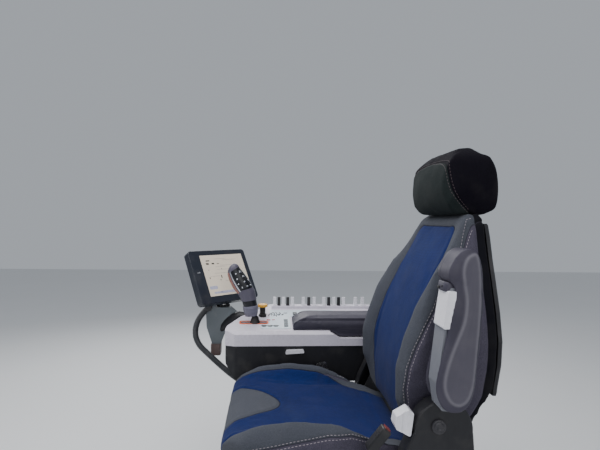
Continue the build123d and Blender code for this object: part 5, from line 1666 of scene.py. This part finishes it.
class CAB_OT_stage(Operator):
    """Lays the pale floor and sets the soft studio light"""

    bl_idname = "cab.stage"
    bl_label = "Stage"

    def execute(self, context):
        sizes = context.scene.cab_stage
        f = Finish("floor_paint", 0.85)
        tone = f.mix(f.cloud(1.5, 3), shade(sizes.floor, 0.98), shade(sizes.floor, 1.02))
        f.press(f.cloud(90, 2), 0.0002, 0.2)
        mesh = bpy.data.meshes.new("floor")
        mesh.from_pydata([(-8, -8, 0), (8, -8, 0), (8, 8, 0), (-8, 8, 0)], [], [(0, 1, 2, 3)])
        mesh.materials.append(f.done(tone))
        add_object("floor", mesh)
        world = bpy.data.worlds.new("studio")
        world.use_nodes = True
        sky = world.node_tree.nodes["Background"].inputs
        sky["Color"].default_value = (0.86, 0.92, 1.0, 1)
        sky["Strength"].default_value = sizes.sky
        context.scene.world = world
        lamps = (
            ("key", (0.3, -0.9, 3.0), (-0.1, 0.0, 0.6), 2.4, sizes.key),
            ("fill", (2.6, 0.5, 1.6), (0.0, 0.1, 0.7), 2.0, sizes.fill),
            ("far", (-2.4, -0.8, 2.2), (-0.2, 0.0, 0.7), 2.2, sizes.key * 0.55),
        )
        for name, place, target, size, power in lamps:
            data = bpy.data.lights.new(name, "AREA")
            data.size = size
            data.energy = power
            lamp = add_object(name, data)
            lamp.matrix_world = Matrix.Translation(place) @ (
                Vector(target) - Vector(place)).to_track_quat("-Z", "Y").to_matrix().to_4x4()
        return {"FINISHED"}


# Panel and registration


class CAB_PT_upholstery(Panel):
    """Lists the pieces that can be made, with their sizes and colours"""

    bl_idname = "CAB_PT_upholstery"
    bl_label = "Operator's seat and console"
    bl_space_type = "VIEW_3D"
    bl_region_type = "UI"
    bl_category = "Upholstery"

    def draw(self, context):
        for label, settings, operators in SECTIONS:
            box = self.layout.box()
            box.label(text=label)
            group = getattr(context.scene, settings)
            for key in type(group).__annotations__:
                box.prop(group, key)
            for operator in operators:
                box.operator(operator.bl_idname)


SECTIONS = (
    ("Conduit", "cab_conduit", (CAB_OT_camera, CAB_OT_conduit)),
    ("Upholstery", "cab_cover", (CAB_OT_cushion, CAB_OT_back, CAB_OT_headrest)),
    ("Mouldings", "cab_mouldings",
     (CAB_OT_armrest, CAB_OT_elbow_pad, CAB_OT_joystick, CAB_OT_console, CAB_OT_monitor)),
    ("Metal frame", "cab_frame", (CAB_OT_bellows, CAB_OT_frame)),
    ("Stage", "cab_stage", (CAB_OT_stage,)),
)
SETTINGS = {
    "cab_conduit": ConduitSettings,
    "cab_cover": CoverSettings,
    "cab_mouldings": MouldingSettings,
    "cab_frame": FrameSettings,
    "cab_stage": StageSettings,
}
CLASSES = (*SETTINGS.values(), *(operator for _, _, group in SECTIONS for operator in group), CAB_PT_upholstery)


def register():
    """Makes the settings, operators and panel known to Blender."""
    for known in CLASSES:
        bpy.utils.register_class(known)
    for name, group in SETTINGS.items():
        setattr(bpy.types.Scene, name, PointerProperty(type=group))


def unregister():
    """Takes the settings, operators and panel out again."""
    for name in SETTINGS:
        delattr(bpy.types.Scene, name)
    for known in reversed(CLASSES):
        bpy.utils.unregister_class(known)


def main():
    """Makes every piece in order."""
    for obj in [o for o in bpy.data.objects if o.type in ("CAMERA", "LIGHT") or o.name == "Cube"]:
        bpy.data.objects.remove(obj)
    register()
    for _, _, operators in SECTIONS:
        for operator in operators:
            group, name = operator.bl_idname.split(".")
            getattr(getattr(bpy.ops, group), name)()


if __name__ == "__main__":
    main()
